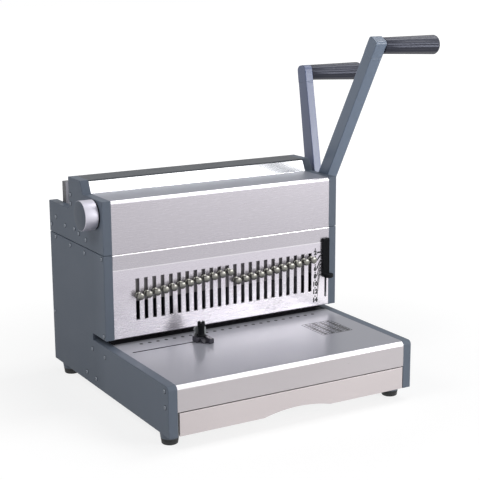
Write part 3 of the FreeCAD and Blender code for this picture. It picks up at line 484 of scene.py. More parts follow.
FINISHES = {
    # The covers' base colour is the lighter front with its painted light; the zone below darkens the rest.
    "casing_paint": Finish("grain", "casing_front", 0.5, 0.12, 0.1, 900, 0.05, gloss=0.15),
    # The slot panel's base colour is the lighter foot with its painted reflection; the zones set the rest.
    "panel_metal": Finish("brushed", "panel_foot", 0.27, 0.03, 0.07, 2600, 0.002, metallic=0.8),
    "upper_metal": Finish("brushed", "upper", 0.27, 0.03, 0.07, 2600, 0.002, metallic=0.7),
    "deck_metal": Finish("brushed", "deck", 0.4, 0.1, 0.08, 2600, 0.002, metallic=0.2, gloss=0.2),
    "table_metal": Finish("brushed", "table", 0.3, 0.06, 0.07, 2600, 0.002, metallic=0.07, gloss=0.1),
    "apron_metal": Finish("brushed", "apron", 0.3, 0.1, 0.1, 2600, 0.002, metallic=0.25),
    "drawer_metal": Finish("brushed", "drawer", 0.36, 0.1, 0.1, 2600, 0.002, metallic=0.75),
    "anvil_paint": Finish("grain", (108, 108, 112), 0.5, 0.12, 0.1, 900, 0.04, gloss=0.2),
    "anvil_face": Finish("brushed", (226, 226, 236), 0.34, 0.1, 0.08, 1800, 0.01, metallic=0.1),
    "lug_metal": Finish("brushed", (168, 172, 174), 0.45, 0.1, 0.1, 1800, 0.01, gloss=0.15),
    "bright_strip": Finish("brushed", (240, 240, 243), 0.22, 0.08, 0.04, 2600, 0.002, metallic=0.9),
    "ridge_paint": Finish("grain", "ridge", 0.5, 0.12, 0.1, 900, 0.04, gloss=0.2),
    "arm_paint": Finish("grain", "arm", 0.38, 0.1, 0.12, 700, 0.05, coat=0.25),
    # Painted shade: the rear lever's paint is a darker copy of the front lever's.
    "rear_arm_paint": Finish("grain", "rear_arm", 0.38, 0.1, 0.12, 700, 0.05, coat=0.3),
    "grip_rubber": Finish("grain", "grip", 0.32, 0.12, 0.2, 1100, 0.08, gloss=0.46, tint=(0.78, 0.82, 1)),
    "black_plastic": Finish("grain", "black", 0.55, 0.14, 0.2, 1400, 0.06, gloss=0.08),
    "guide_plastic": Finish("grain", (62, 61, 70), 0.45, 0.14, 0.2, 1400, 0.06, gloss=0.3),
    "steel": Finish("brushed", (172, 172, 174), 0.4, 0.16, 0.12, 1800, 0.02, metallic=0.9),
    "bar_steel": Finish("brushed", (174, 172, 174), 0.45, 0.16, 0.16, 1800, 0.02, metallic=0.25),
    "tool_steel": Finish("brushed", (56, 55, 61), 0.5, 0.16, 0.2, 1800, 0.02, metallic=0.6),
    "zinc_plate": Finish("grain", (182, 186, 186), 0.42, 0.2, 0.2, 300, 0.02, metallic=0.85),
    "screw_zinc": Finish("grain", (122, 128, 137), 0.36, 0.2, 0.2, 1800, 0.02, metallic=0.85),
    "bronze": Finish("grain", (176, 142, 92), 0.45, 0.2, 0.2, 1800, 0.04, metallic=0.9),
    "pin_metal": Finish("grain", "pin", 0.28, 0.1, 0.12, 2400, 0.01, metallic=1.0),
    "ink": Finish("grain", "ink", 0.5, 0.1, 0.15, 2600, 0.004),
    "foot": Finish("grain", (40, 42, 43), 0.6, 0.15, 0.15, 900, 0.06),
    "knob_metal": Finish("lathe", (200, 198, 209), 0.42, 0.08, 0.05, 1500, 0.01, metallic=0.85),
    "knob_face": Finish("lathe", (84, 92, 104), 0.5, 0.14, 0.08, 900, 0.03, gloss=0.15),
}

# Changes of colour in a finish: axis, level, half width of the change and the colour above the level. Most
# are painted light and shade: lighter fronts, highlights on edges and folds, and shade in gaps.
ZONES = {
    # Painted light: the covers turn lighter towards the front.
    "casing_paint": [("Y", panel_low.y + 20 * MM, 18 * MM, "casing")],
    "panel_metal": [
        # Painted reflection: below this level the panel keeps the lighter foot colour.
        ("Z", 136 * MM, 26 * MM, "panel"),
        # Painted highlight along the fold line.
        ("Z", 188.4 * MM, 0.3 * MM, "fold_highlight"),
        # Painted shade on the band above the fold.
        ("Z", 189.4 * MM, 0.3 * MM, "fold"),
        # Painted highlight along the slot panel's top edge.
        ("Z", panel_high.z - 1.3 * MM, 0.3 * MM, "bend"),
    ],
    # Painted highlight along the upper panel's round top edge.
    "upper_metal": [("Z", upper_high.z - 3.2 * MM, 1 * MM, "bend")],
    # Painted reflection on the table near the slot panel.
    "table_metal": [("Y", table_low.y + 158 * MM, 14 * MM, "table_rear_reflection")],
    "apron_metal": [
        # Painted highlight along the table's round front edge.
        ("Z", table_high.z - 5 * MM, 1.5 * MM, "bend"),
        # Painted shade: the sheet more than 12 mm behind the apron's front is dark, as shade in the gap
        # above the drawer.
        ("Y", table_low.y + 12 * MM, 0.5 * MM, (64, 66, 70)),
    ],
    # Painted shade on the collar side of each pull pin.
    "pin_metal": [("Y", panel_low.y - 5 * MM, 1 * MM, "collar")],
    "foot": [("Z", 8.2 * MM, 0.2 * MM, "casing")],
}

# Which finish each CAD node has, where it shows as it is
NODE_FINISH = {
    "casing_paint": ("left_lower_cover", "right_lower_cover", "left_upper_cover", "right_upper_cover",
                     "rear_panel"),
    "zinc_plate": ("left_side_frame", "right_side_frame", "base_plate"),
    "steel": ("tie_bars", "return_springs", "punch_shaft", "closing_shaft", "adjuster_spindle",
              "closing_press"),
    "tool_steel": ("die_block", "punch_guide", "paper_stop", "punches"),
    "bar_steel": ("punch_bar",),
    "bronze": ("shaft_bushes",),
    "foot": ("feet",),
}

# Sheet metal that is shown as a copy with softened edges: node, finish and slot
SHEETS = [
    ("front_panel", "upper_metal", "silver_panel"),
    ("slot_panel", "panel_metal", "silver_panel"),
    ("paper_table", "apron_metal", "table_paint"),
    ("ridge_face", "bright_strip", "bright_strip"),
    ("ridge_cover", "ridge_paint", "dark_ridge"),
    ("closing_anvil", "anvil_paint", "steel"),
    ("chip_drawer", "drawer_metal", "drawer_paint"),
]

# Edges of those sheets that move a little: node, which corner of its box, axis and move in millimetres
TRIMS = [
    ("front_panel", 0, 2, -0.5),
    ("paper_table", 0, 2, 1.0),
    ("chip_drawer", 0, 0, 2.4),
    ("chip_drawer", 1, 0, -0.7),
]

# Faces of those sheets that have a finish of their own: node, finish, axis and the side that they face
FACE_FINISH = [
    ("front_panel", "deck_metal", 2, 1),
    ("paper_table", "table_metal", 2, 1),
    ("closing_anvil", "anvil_face", 1, -1),
]

# Places of the colours in a Mix node's sockets
MIX_BELOW, MIX_ABOVE, MIX_RESULT = 6, 7, 2

materials = {}


def surface(name, finish, group, colours):
    """A material that takes its colour, roughness and normal from one of the shader groups."""
    def linear(colour):
        return (*(getattr(colours, colour) if isinstance(colour, str) else srgb(*colour)), 1)

    material = bpy.data.materials.new(name)
    material.use_nodes = True
    layout = NodeLayout(material.node_tree)
    place = layout.node("TexCoord").outputs["Object"]
    colour = linear(finish.colour)
    for axis, level, width, above in ZONES.get(name, ()):
        split = layout.node("SeparateXYZ", place)
        share = layout.map_range(split.outputs[axis], From_Min=level - width, From_Max=level + width)
        mix = layout.node("Mix", share, settings={"data_type": "RGBA"})
        layout.feed(mix.inputs[MIX_BELOW], colour)
        layout.feed(mix.inputs[MIX_ABOVE], linear(above))
        colour = mix.outputs[MIX_RESULT]
    if finish.group == "lathe":
        place = layout.node("Mapping", place, settings={"vector_type": "TEXTURE"},
                            Location=joint_place["size_adjuster_turn"],
                            Rotation=(0, math.radians(90), 0)).outputs["Vector"]
    effect = layout.node("Group", settings={"node_tree": group}, Place=place, Colour=colour,
                         Tone_spread=finish.tone_spread, Roughness=finish.roughness,
                         Roughness_spread=finish.roughness_spread, Grain_scale=finish.grain_scale,
                         Grain_depth=finish.grain_depth * MM).outputs
    layout.give(material.node_tree.nodes["Principled BSDF"], Base_Color=effect["Colour"],
                Roughness=effect["Roughness"], Normal=effect["Normal"], Metallic=finish.metallic,
                Specular_IOR_Level=finish.gloss, Specular_Tint=(*finish.tint, 1),
                Coat_Weight=finish.coat, Coat_Roughness=0.2)
    return material


def make_finishes(colours):
    groups = {"grain": grain_group(), "brushed": brushed_group(), "lathe": lathe_group()}
    for name, finish in FINISHES.items():
        materials[name] = surface(name, finish, groups[finish.group], colours)


# Stage

# Camera at the photograph's angle: place in millimetres from the casing's middle, front and floor
LENS_MM = 91.707
CAMERA_X, CAMERA_Y, CAMERA_Z = -819.594, -1273.632, 590.860
AZIMUTH, ELEVATION, ROLL = math.radians(-30.02), math.radians(12.78), math.radians(-0.357)

# Soft lamps: name, place, target, size and watts
LAMPS = [
    ("low front softbox", (1.45, -2.05, 0.62), (0, 0, 0.15), (0.95, 0.75), 27),
    ("high front softbox", (1.53, -1.69, 1.78), (0, 0, 0.15), (2.2, 1.0), 13),
    ("overhead softbox", (1.15, 0, 2.1), (0.15, 0, 0.3), (0.7, 1.4), 14),
    ("left fill", (-1.05, -0.15, 1.1), (-0.2, 0, 0.2), (0.5, 0.5), 4.8),
]
WORLD_LIGHT = 0.15
FLOOR_SIZE = 30
FLOOR_WHITE = 1.12


class MACHINE_OT_stage(Operator):
    """Floor, lights and the camera at the photograph's angle"""
    bl_idname = "machine.stage"
    bl_label = "Stage"

    def execute(self, context):
        make_camera()
        make_floor()
        make_lights()
        context.scene.view_settings.view_transform = "Standard"
        return {"FINISHED"}


def make_camera():
    data = bpy.data.cameras.new("camera")
    data.lens = LENS_MM
    data.sensor_width = 36
    data.clip_start = 0.05
    data.clip_end = 50
    place = (middle_x + CAMERA_X * MM, casing_low.y + CAMERA_Y * MM, CAMERA_Z * MM)
    ahead = Vector((-math.sin(AZIMUTH) * math.cos(ELEVATION), math.cos(AZIMUTH) * math.cos(ELEVATION),
                    -math.sin(ELEVATION)))
    camera = aimed("camera", data, place, ahead)
    camera.rotation_quaternion = camera.rotation_quaternion @ Quaternion((0, 0, 1), ROLL)
    bpy.context.scene.camera = camera


def aimed(name, data, place, ahead):
    """A camera or lamp that stands at the place and looks ahead."""
    item = bpy.data.objects.new(name, data)
    bpy.context.scene.collection.objects.link(item)
    item.location = place
    item.rotation_mode = "QUATERNION"
    item.rotation_quaternion = ahead.to_track_quat("-Z", "Y")
    return item


def shown_background(layout):
    """1 for the rays that show the background: seen straight, mirrored or through glass."""
    rays = layout.node("LightPath").outputs
    either = layout.maths("MAXIMUM", rays["Is Camera Ray"], rays["Is Glossy Ray"])
    return layout.maths("MAXIMUM", either, rays["Is Transmission Ray"])


def make_floor():
    """A pale floor that keeps the shadow near the object and turns plain white further out."""
    clear_selection()
    bpy.ops.mesh.primitive_plane_add(size=FLOOR_SIZE, location=(0, 0, 0))
    floor = named("floor")
    material = bpy.data.materials.new("floor_paint")
    material.use_nodes = True
    layout = NodeLayout(material.node_tree)
    nodes, place = layout.tree.nodes, layout.node("TexCoord").outputs["Object"]
    tone = layout.map_range(layout.noise(place, 3.0), To_Min=0.92, To_Max=0.95)
    shader = nodes["Principled BSDF"]
    layout.give(shader, Base_Color=tone, Roughness=0.9, Specular_IOR_Level=0.1)
    distance = layout.node("VectorMath", place, settings={"operation": "LENGTH"}).outputs["Value"]
    glow = layout.map_range(distance, From_Min=0.3, From_Max=1.0, To_Min=0.7, To_Max=1.0)
    seen = layout.maths("MULTIPLY", glow, shown_background(layout))
    white = layout.node("Emission", Strength=FLOOR_WHITE).outputs["Emission"]
    both = layout.node("MixShader", seen, shader.outputs["BSDF"], white).outputs["Shader"]
    layout.give(nodes["Material Output"], Surface=both)
    floor.data.materials.append(material)


def make_lights():
    for name, place, target, size, power in LAMPS:
        data = bpy.data.lights.new(name, "AREA")
        data.shape = "RECTANGLE"
        data.size, data.size_y = size
        data.energy = power
        aimed(name, data, place, Vector(target) - Vector(place)).visible_camera = False
    world = bpy.data.worlds.new("studio")
    bpy.context.scene.world = world
    world.use_nodes = True
    layout = NodeLayout(world.node_tree)
    strength = layout.map_range(shown_background(layout), To_Min=WORLD_LIGHT, To_Max=1.0)
    layout.give(world.node_tree.nodes["Background"], Color=(1, 1, 1, 1), Strength=strength)


# The machine's pieces

class MACHINE_OT_casing(Operator):
    """Finishes of the covers, frames and inner metal parts, which keep their CAD shapes"""
    bl_idname = "machine.casing"
    bl_label = "Casing and inner parts"

    def execute(self, context):
        for finish, nodes in NODE_FINISH.items():
            for node in nodes:
                paint(frame["nodes"][node], finish)
        return {"FINISHED"}


class MACHINE_OT_sheets(Operator):
    """Sheet metal panels and the drawer, with softened edges"""
    bl_idname = "machine.sheets"
    bl_label = "Sheet metal"

    def execute(self, context):
        sheets = {}
        for node, finish, slot in SHEETS:
            is_drawer = node == "chip_drawer"
            piece = node_copy(node, node + ("_tray" if is_drawer else "_sheet"))
            trim_edges(piece, node)
            if node == "slot_panel":
                extend_slider_slot(piece)
            if is_drawer:
                round_drawer_edge(piece)
            soften(piece, context.scene.machine_sizes.edge_softness)
            sheets[node] = dress(piece, finish, node if is_drawer else "root", slot, node)
        for node, finish, axis, side in FACE_FINISH:
            finish_faces(sheets[node], finish, lambda face: face.normal[axis] * side > 0.9)
        return {"FINISHED"}


def trim_edges(piece, node):
    """Moves a sheet's edges by the little that the real ones differ."""
    for trimmed, corner, axis, amount in TRIMS:
        if trimmed == node:
            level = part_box(node)[corner][axis]
            move = [0, 0, 0]
            move[axis] = amount * MM
            shift_verts(piece, move, lambda place: abs(place[axis] - level) < NEAR)


def extend_slider_slot(piece):
    """Runs the slider's slot further down the panel, below the thumb tab, and widens it a little."""
    middle = panel_high.x - 5 * MM
    half_width = 1.7 * MM
    tool = block("tool", (middle - half_width, panel_low.y - 1 * MM, 105 * MM),
                 (middle + half_width, panel_low.y + 4 * MM, 162 * MM))
    return cut_out(piece, tool)


def round_drawer_edge(piece):
    """Rounds the top front edge of the drawer."""
    low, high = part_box("chip_drawer")
    return round_edges(piece, 0.5 * MM, 2, lambda edge: all(
        vert.co.z > high.z - NEAR and vert.co.y < low.y + NEAR for vert in edge.verts))


def lever_arm(name, lever, sizes):
    """A tapered bar with a cap, a round hub on the shaft and a spacer, made upright and then leaned."""
    thickness = getattr(sizes, lever + "_arm_thickness")
    top_half = getattr(sizes, lever + "_arm_top") / 2
    low_half = getattr(sizes, lever + "_arm_low") / 2
    corner = getattr(sizes, lever + "_arm_corner")
    seat = getattr(sizes, lever + "_seat")
    hub_radius, spacer_radius = 15 * MM, 12 * MM
    axis = joint_place[lever + "_lever_turn"]
    grip = centre_of(lever + "_grip")
    reach = math.hypot(grip.y - axis.y, grip.z - axis.z)
    lean = math.atan2(axis.y - grip.y, grip.z - axis.z)
    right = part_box(lever + "_grip")[0].x
    left = right - thickness
    inner = min(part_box(lever + "_arm")[0].x, left)
    top = reach + sizes.grip_drop
    lip = sizes.arm_lip
    start = top - sizes.arm_cap
    start_half = low_half + (top_half - low_half) * start / top
    cap_half = start_half + lip

    bar = block(name, (left, -low_half, 0), (right, low_half, start - lip))
    scale_verts(bar, (1, start_half / low_half, 1), lambda place: place.z > start / 2)
    soften(bar, sizes.arm_edge, 3)
    neck = block("neck", (left + lip, lip - start_half, start - 3 * MM),
                 (right - lip, start_half - lip, start + 3 * MM))
    cap = block("cap", (left - lip, -cap_half, start), (right, cap_half, top + lip))
    scale_verts(cap, (1, (top_half + lip) / cap_half, 1), lambda place: place.z > (start + top) / 2)
    round_edges(cap, corner, 8, lambda edge: all(vert.co.z > top for vert in edge.verts)
                and abs(edge.verts[0].co.y - edge.verts[1].co.y) < lip)
    soften(cap, sizes.arm_edge, 3)
    hub = turned("hub", [
        (0, hub_radius - 1 * MM), (0.8 * MM, hub_radius), (thickness - 1 * MM, hub_radius),
        (thickness, hub_radius - 1 * MM), (thickness, seat + 0.4 * MM), (thickness - 0.9 * MM, seat),
    ], 64)
    smooth(stand(hub, (left, 0, 0), (1, 0, 0)), 50)
    spacer = turned("spacer", [(0, spacer_radius), (left - inner, spacer_radius)])
    smooth(stand(spacer, (inner, 0, 0), (1, 0, 0)))
    arm = join(name, [bar, neck, cap, hub, spacer])
    arm.rotation_euler = (lean, 0, 0)
    arm.location = (0, axis.y, axis.z)
    return settle(arm)


class MACHINE_OT_levers(Operator):
    """The two lever arms with their caps and hubs"""
    bl_idname = "machine.levers"
    bl_label = "Levers"

    def execute(self, context):
        for lever, finish in (("punch", "arm_paint"), ("closing", "rear_arm_paint")):
            arm = lever_arm(lever + "_lever_arm", lever, context.scene.machine_sizes)
            dress(arm, finish, lever + "_lever", "arm_paint", lever + "_arm")
        return {"FINISHED"}


def fluted_grip(name, lever, sizes):
    """A tapered grip with grooves along it and a rounded end."""
    low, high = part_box(lever + "_grip")
    length = high.x - low.x - 0.4 * MM
    sides_per_groove = 8
    sides = sizes.grip_grooves * sides_per_groove
    root, end = sizes.grip_root, sizes.grip_end
    heel, dome, dome_steps = 0.7 * MM, 4.2 * MM, 6

    def radius_at(height):
        return root + (end - root) * height / length

    rings = [(0, root - heel), (heel, root), (length * 0.35, radius_at(length * 0.35)),
             (length * 0.7, radius_at(length * 0.7)), (length - dome, end)]
    for step in range(1, dome_steps):
        angle = math.radians(90 * step / dome_steps)
        rings.append((length - dome + dome * math.sin(angle), end - dome * (1 - math.cos(angle))))
    rings.append((length, end - dome * 1.05))
    grip = turned(name, rings, sides)
    groove_start, groove_stop = 0.3 * MM, length - dome + 0.1 * MM
    for depth, offsets in ((sizes.groove_depth, (0,)), (sizes.groove_depth * 0.6, (-1, 1))):
        def in_groove(place):
            turn = math.atan2(place.y, place.x) / (2 * math.pi) * sides
            return groove_start <= place.z <= groove_stop and any(
                round(turn - offset) % sides_per_groove == 0 for offset in offsets)
        share = 1 - depth / end
        scale_verts(grip, (share, share, 1), in_groove)
    centre = centre_of(lever + "_grip")
    return smooth(stand(grip, (low.x, centre.y, centre.z - 0.5 * MM), (1, 0, -sizes.grip_sag)), 40)


class MACHINE_OT_grips(Operator):
    """The two fluted black grips"""
    bl_idname = "machine.grips"
    bl_label = "Grips"

    def execute(self, context):
        for lever in ("punch", "closing"):
            grip = fluted_grip(lever + "_lever_grip", lever, context.scene.machine_sizes)
            dress(grip, "grip_rubber", lever + "_lever", "grip_plastic", lever + "_grip")
        return {"FINISHED"}


# A pull pin's knob from its collar to its end: height in millimetres and share of the knob's radius
PIN_KNOB = [
    (0, 0.86), (0.35, 0.95), (0.8, 0.98), (1.8, 0.98), (2.3, 0.94), (2.6, 0.84), (2.8, 0.6), (6.4, 0.6),
    (7.1, 0.9), (7.5, 0.98), (8.0, 1), (9.4, 1), (10.2, 0.97), (10.7, 0.9), (11, 0.78),
]


class MACHINE_OT_pull_pins(Operator):
    """The row of turned pull pins, modelled once and copied"""
    bl_idname = "machine.pull_pins"
    bl_label = "Pull pins"

    def execute(self, context):
        radius = context.scene.machine_sizes.pin_knob
        low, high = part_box(pin_names[0])
        shank = high.y - low.y - 13 * MM
        profile = in_mm((0, 1.3), (0.2, 1.5), (4, 1.5), (4, 2.25)) + [(shank - 0.01 * MM, 2.25 * MM)]
        profile += [(shank + height * MM, radius * share) for height, share in PIN_KNOB]
        master = smooth(turned("pin_master", profile, 32), 40)
        for name in pin_names:
            centre = centre_of(name)
            pin = copy_of(master, name.replace("pull_pin", "turned_pin"))
            stand(pin, (centre.x, high.y, centre.z), FRONT)
            dress(pin, "pin_metal", name, "pin_chrome", name)
        bpy.data.objects.remove(master)
        return {"FINISHED"}


class MACHINE_OT_adjuster_knob(Operator):
    """The turned knob on the left side, with its dark face, and a black ring behind it as painted shade in
    the gap to the cover
    """
    bl_idname = "machine.adjuster_knob"
    bl_label = "Adjuster knob"

    def execute(self, context):
        low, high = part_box("adjuster_knob")
        centre = centre_of("adjuster_knob")
        rim = (high.z - low.z) / 2 / MM
        length = (high.x - low.x) / MM
        body = in_mm((1.2, rim - 1), (1.3, rim - 0.6), (1.9, rim), (length - 0.8, rim),
                     (length - 0.35, rim - 0.15), (length - 0.15, rim - 0.5))
        face = in_mm((length - 0.3, rim - 0.4), (length - 0.1, rim - 0.5), (length, rim - 0.9),
                     (length, rim * 0.3))
        # Painted shade: a black ring between the knob and the cover stands for the shade in their gap.
        shadow_ring = in_mm((0, rim - 0.6), (0.2, rim - 0.3), (1.1, rim - 0.3), (1.3, rim - 0.6))
        for name, rings, finish, slot, *nodes in (
            ("adjuster_knob_body", body, "knob_metal", "knob_metal", "adjuster_knob"),
            ("adjuster_knob_face", face, "knob_face", "knob_metal"),
            ("adjuster_knob_washer", shadow_ring, "black_plastic", "black_plastic"),
        ):
            piece = turned(name, rings, 96)
            smooth(stand(piece, (high.x, centre.y, centre.z), (-1, 0, 0)), 30)
            dress(piece, finish, "size_adjuster", slot, *nodes)
        return {"FINISHED"}


class MACHINE_OT_size_slider(Operator):
    """The black slider beside the slots, with its pointer and thumb tab"""
    bl_idname = "machine.size_slider"
    bl_label = "Size slider"

    def execute(self, context):
        low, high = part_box("size_slider")
        width, height, thick = 10.6 * MM, 55 * MM, 4 * MM
        right = panel_high.x - 1.1 * MM
        left = right - width
        back = panel_face - 0.3 * MM
        front = back - thick
        bottom = high.z - height
        body = block("body", (left, front, bottom), (right, back, high.z))
        reshape(body, "faces", lambda face: face.normal.y < -0.9, bpy.ops.mesh.inset, thickness=1.3 * MM)
        reshape(body, "faces", lambda face: face.normal.y < -0.9 and face.calc_area() > width * height / 2,
                bpy.ops.mesh.extrude_region_move, TRANSFORM_OT_translate={"value": (0, 0.6 * MM, 0)})
        soften(body, 0.5 * MM, 3)
        knurl = knurled_field((left + right) / 2, front + 0.4 * MM, (bottom + high.z) / 2)
        pointer_z = high.z - 4 * MM
        pointer = block("pointer", (left - 2.4 * MM, back - 2.5 * MM, pointer_z - 2 * MM),
                        (left + 1 * MM, back, pointer_z + 2 * MM))
        scale_verts(pointer, (1, 1, 0.12), lambda place: place.x < left, (0, 0, pointer_z))
        soften(pointer, 0.15 * MM, 2)
        tab = turned("tab", in_mm((0, 6.6), (0.8, 7.5), (4.4, 7.5), (5.2, 6.6)), 64)
        stand(tab, ((left + right) / 2 + 3.6 * MM, front, bottom - 4.2 * MM), UP)
        smooth(reshape(tab, "faces", lambda face: True, bpy.ops.mesh.bisect, plane_co=(0, back, 0),
                       plane_no=(0, 1, 0), use_fill=True, clear_outer=True))
        stem = block("stem", (panel_high.x - 6 * MM, back - 1 * MM, high.z - 56 * MM),
                     (panel_high.x - 4 * MM, high.y, high.z - 36 * MM))
        slider = join("size_slider_body", [body, pointer, tab, stem, knurl])
        dress(slider, "black_plastic", "size_slider", "black_plastic", "size_slider")
        return {"FINISHED"}


def knurled_field(x, y, z):
    """Rows of small pyramids that face the front, about the place."""
    pitch, across, up = 1.5 * MM, 5, 33
    clear_selection()
    bpy.ops.mesh.primitive_cone_add(vertices=4, radius1=1.0 * MM, radius2=0.25 * MM, depth=0.7 * MM)
    knurl = stand(named("knurl"), (x - pitch * (across - 1) / 2, y, z - pitch * (up - 1) / 2), FRONT)
    for count, step in ((across, (pitch, 0, 0)), (up, (0, 0, pitch))):
        modify(knurl, "ARRAY", count=count, use_relative_offset=False, use_constant_offset=True,
               constant_offset_displace=step)
    return knurl


class MACHINE_OT_edge_guide(Operator):
    """The sliding edge guide on the table and its clamp knob"""
    bl_idname = "machine.edge_guide"
    bl_label = "Edge guide"

    def execute(self, context):
        low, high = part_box("edge_guide")
        bottom, top = table_high.z + 0.3 * MM, high.z
        centre = centre_of("edge_guide")
        left, right = low.x - 1.8 * MM, high.x + 1.4 * MM
        prong_x = right - 7 * MM
        body = block("body", (left, low.y + 10 * MM, bottom), (right, high.y - 6.5 * MM, top))
        prong = block("prong", (prong_x, low.y - 4 * MM, bottom), (right, low.y + 12 * MM, top))
        ramp = block("ramp", (left + 6 * MM, low.y + 2 * MM, bottom),
                     (prong_x + 1 * MM, low.y + 12 * MM, top))
        shift_verts(ramp, (0, 0, 1.5 * MM - (top - bottom)),
                    lambda place: place.z > top - 1 * MM and place.y < low.y + 5 * MM)
        for part in (body, prong, ramp):
            soften(part, 0.7 * MM, 3)
        slot_y = centre.y + 3 * MM
        tongue = block("tongue", (centre.x - 7 * MM, slot_y - 1.1 * MM, low.z),
                       (centre.x + 7 * MM, slot_y + 1.1 * MM, bottom + 1 * MM))
        guide = join("edge_guide_body", [body, prong, ramp, tongue])
        dress(guide, "guide_plastic", "edge_guide", "black_plastic", "edge_guide")
        guide_lug(left, right, high.y - 9 * MM, top)
        clamp_knob(top + 0.3 * MM)
        return {"FINISHED"}


def guide_lug(left, right, y, z):
    """The grey upright lug on the guide's foot, with a round top and an eye."""
    lug = block("edge_guide_lug", (left + 2 * MM, y, z - 1 * MM), (right, y + 2.5 * MM, z + 13.5 * MM))
    round_edges(lug, 5 * MM, 8, lambda edge: all(vert.co.z > z + 13 * MM for vert in edge.verts)
                and abs(edge.verts[0].co.y - edge.verts[1].co.y) > 1 * MM)
    eye = turned("eye", in_mm((0, 2.4), (6, 2.4)), 24)
    cut_out(lug, stand(eye, (left + 1.2 * MM, y + 4 * MM, z + 6 * MM), FRONT))
    soften(lug, 0.4 * MM)
    dress(lug, "lug_metal", "edge_guide", "steel")


def clamp_knob(base_z):
    """The guide's clamp knob, with a flange, a waist and a notch across its top."""
    low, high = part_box("guide_knob")
    centre = centre_of("guide_knob")
    radius = (high.x - low.x) / 2 / MM
    height = (high.z - base_z) / MM - 2.8
    flange, waist = radius + 1.4, radius * 0.83
    knob = turned("clamp_knob", in_mm(
        ((low.z - base_z) / MM, 2), (0, 2), (0.01, flange - 0.4), (0.4, flange), (1.8, flange),
        (2.2, radius * 0.95), (2.6, waist), (height * 0.6, waist), (height * 0.64, radius * 0.95),
        (height * 0.68, radius), (height - 1.8, radius), (height - 0.8, radius * 0.92),
        (height - 0.2, radius * 0.74), (height, radius * 0.5)))
    notch = block("notch", (-1.2 * MM, -8 * MM, (height - 2.4) * MM), (1.2 * MM, 8 * MM, (height + 1) * MM))
    notch.rotation_euler = (0, 0, math.radians(-30))
    cut_out(smooth(knob, 40), settle(notch))
    smooth(stand(knob, (centre.x, centre.y, base_z), UP), 40)
    dress(knob, "black_plastic", "guide_knob", "black_plastic", "guide_knob")


class MACHINE_OT_cover_screws(Operator):
    """Pan head screws with cross recesses on the side covers"""
    bl_idname = "machine.cover_screws"
    bl_label = "Cover screws"

    def execute(self, context):
        master = turned("screw_master", in_mm((-3, 1.4), (0, 1.4), (0.01, 2.4), (0.25, 2.6), (0.7, 2.5),
                                              (1.1, 2.1), (1.32, 1.5), (1.4, 0.7)), 24)
        for wide, high in ((2.9 * MM, 0.62 * MM), (0.62 * MM, 2.9 * MM)):
            cut_out(master, block("bar", (-wide / 2, -high / 2, 0.5 * MM), (wide / 2, high / 2, 2 * MM)))
        smooth(master, 40)
        heads, rings = [], []
        for number, (place, side) in enumerate(screw_places()):
            heads.append(stand(copy_of(master, "screw"), place, (side, 0, 0), math.radians(37 * number)))
            # Painted shade: a black disc under each screw head stands for the shade of its recess.
            ring = turned("ring", in_mm((-0.5, 3.2), (0.1, 3.2), (0.16, 3.0)), 24)
            rings.append(stand(ring, place, (side, 0, 0)))
        bpy.data.objects.remove(master)
        dress(join("cover_screw_heads", heads), "screw_zinc", "root", "screw_steel", "cover_screws")
        dress(join("cover_screw_recesses", rings), "black_plastic", "root", "black_plastic")
        return {"FINISHED"}


def screw_places():
    """Centre of each screw head on its cover, read from the solids of the screws' node."""
    choose(node_copy("cover_screws", "probe"))
    bpy.ops.mesh.separate(type="LOOSE")
    places = []
    for solid in bpy.context.selected_objects:
        corners = [vert.co for vert in solid.data.vertices]
        x, y, z = [(min(levels) + max(levels)) / 2 for levels in zip(*corners)]
        side = 1 if x > middle_x else -1
        places.append((Vector((casing_high.x if side > 0 else casing_low.x, y, z)), side))
        bpy.data.objects.remove(solid)
    return sorted(places, key=lambda item: (item[1], round(item[0].y, 4), round(item[0].z, 4)))


# Printed marks

# The scale beside the slots, from its top: level of the number, level of the tick and width of the line
SCALE_ROWS = [
    (174.1, 174.5, 2.5), (162.5, 169.1, 2.4), (150.1, 161.4, 2.2), (138.5, 155.9, 1.5),
    (126.8, 150.5, 1.1), (115.1, 146.6, 0.9), (102.5, 140.4, 0.8),
]
NUMBER_X, LINE_X, TICK_X, TICK_END_X = 150.6, 153.6, 158.8, 161.6
SCALE_NUMBER, TICK_WIDTH, SCALE_DOT, DOT_ABOVE_NUMBER = 6.6, 2, 1.2, 5.9

# The marks on the table in front of the slots: distance from the table's front edge, and radius
HOLE_MARK_Y, HOLE_MARK = 177, 2.6

# The size chart on the table: edges of its columns, the step of each column, its near and far edges,
# its rows, the height of its numbers and the widths of its lines
CHART_COLUMNS = (96.5, 109, 121, 133, 146)
CHART_STEPS = (5, 10, 15, 20)
CHART_NEAR, CHART_FAR, CHART_ROWS = 82, 137.5, 8
CHART_NUMBER, ROW_LINE, COLUMN_LINE = 4.2, 1.4, 1.0


def on_panel(x, z):
    """A point of the slot panel's face, in millimetres from the casing's middle and the floor."""
    return Vector((middle_x + x * MM, panel_face, z * MM))


def on_table(x, y):
    """A point of the table's top, in millimetres from the casing's middle and front."""
    return Vector((middle_x + x * MM, table_low.y + y * MM, table_high.z))


def raised(place, normal):
    return place + normal * bpy.context.scene.machine_sizes.print_rise


def mark_line(start, end, width, normal):
    """A thin printed line between two points of a face, its width in millimetres."""
    clear_selection()
    bpy.ops.mesh.primitive_plane_add(size=1)
    line = bpy.context.object
    along = normal.to_track_quat("Z", "Y").inverted() @ (end - start)
    line.scale = (along.length, width * MM, 1)
    return stand(line, raised((start + end) / 2, normal), normal, math.atan2(along.y, along.x))


def mark_dot(place, radius, normal):
    """A printed dot, its radius in millimetres."""
    return stand(disc((0, 0, 0), radius * MM, 20), raised(place, normal), normal)


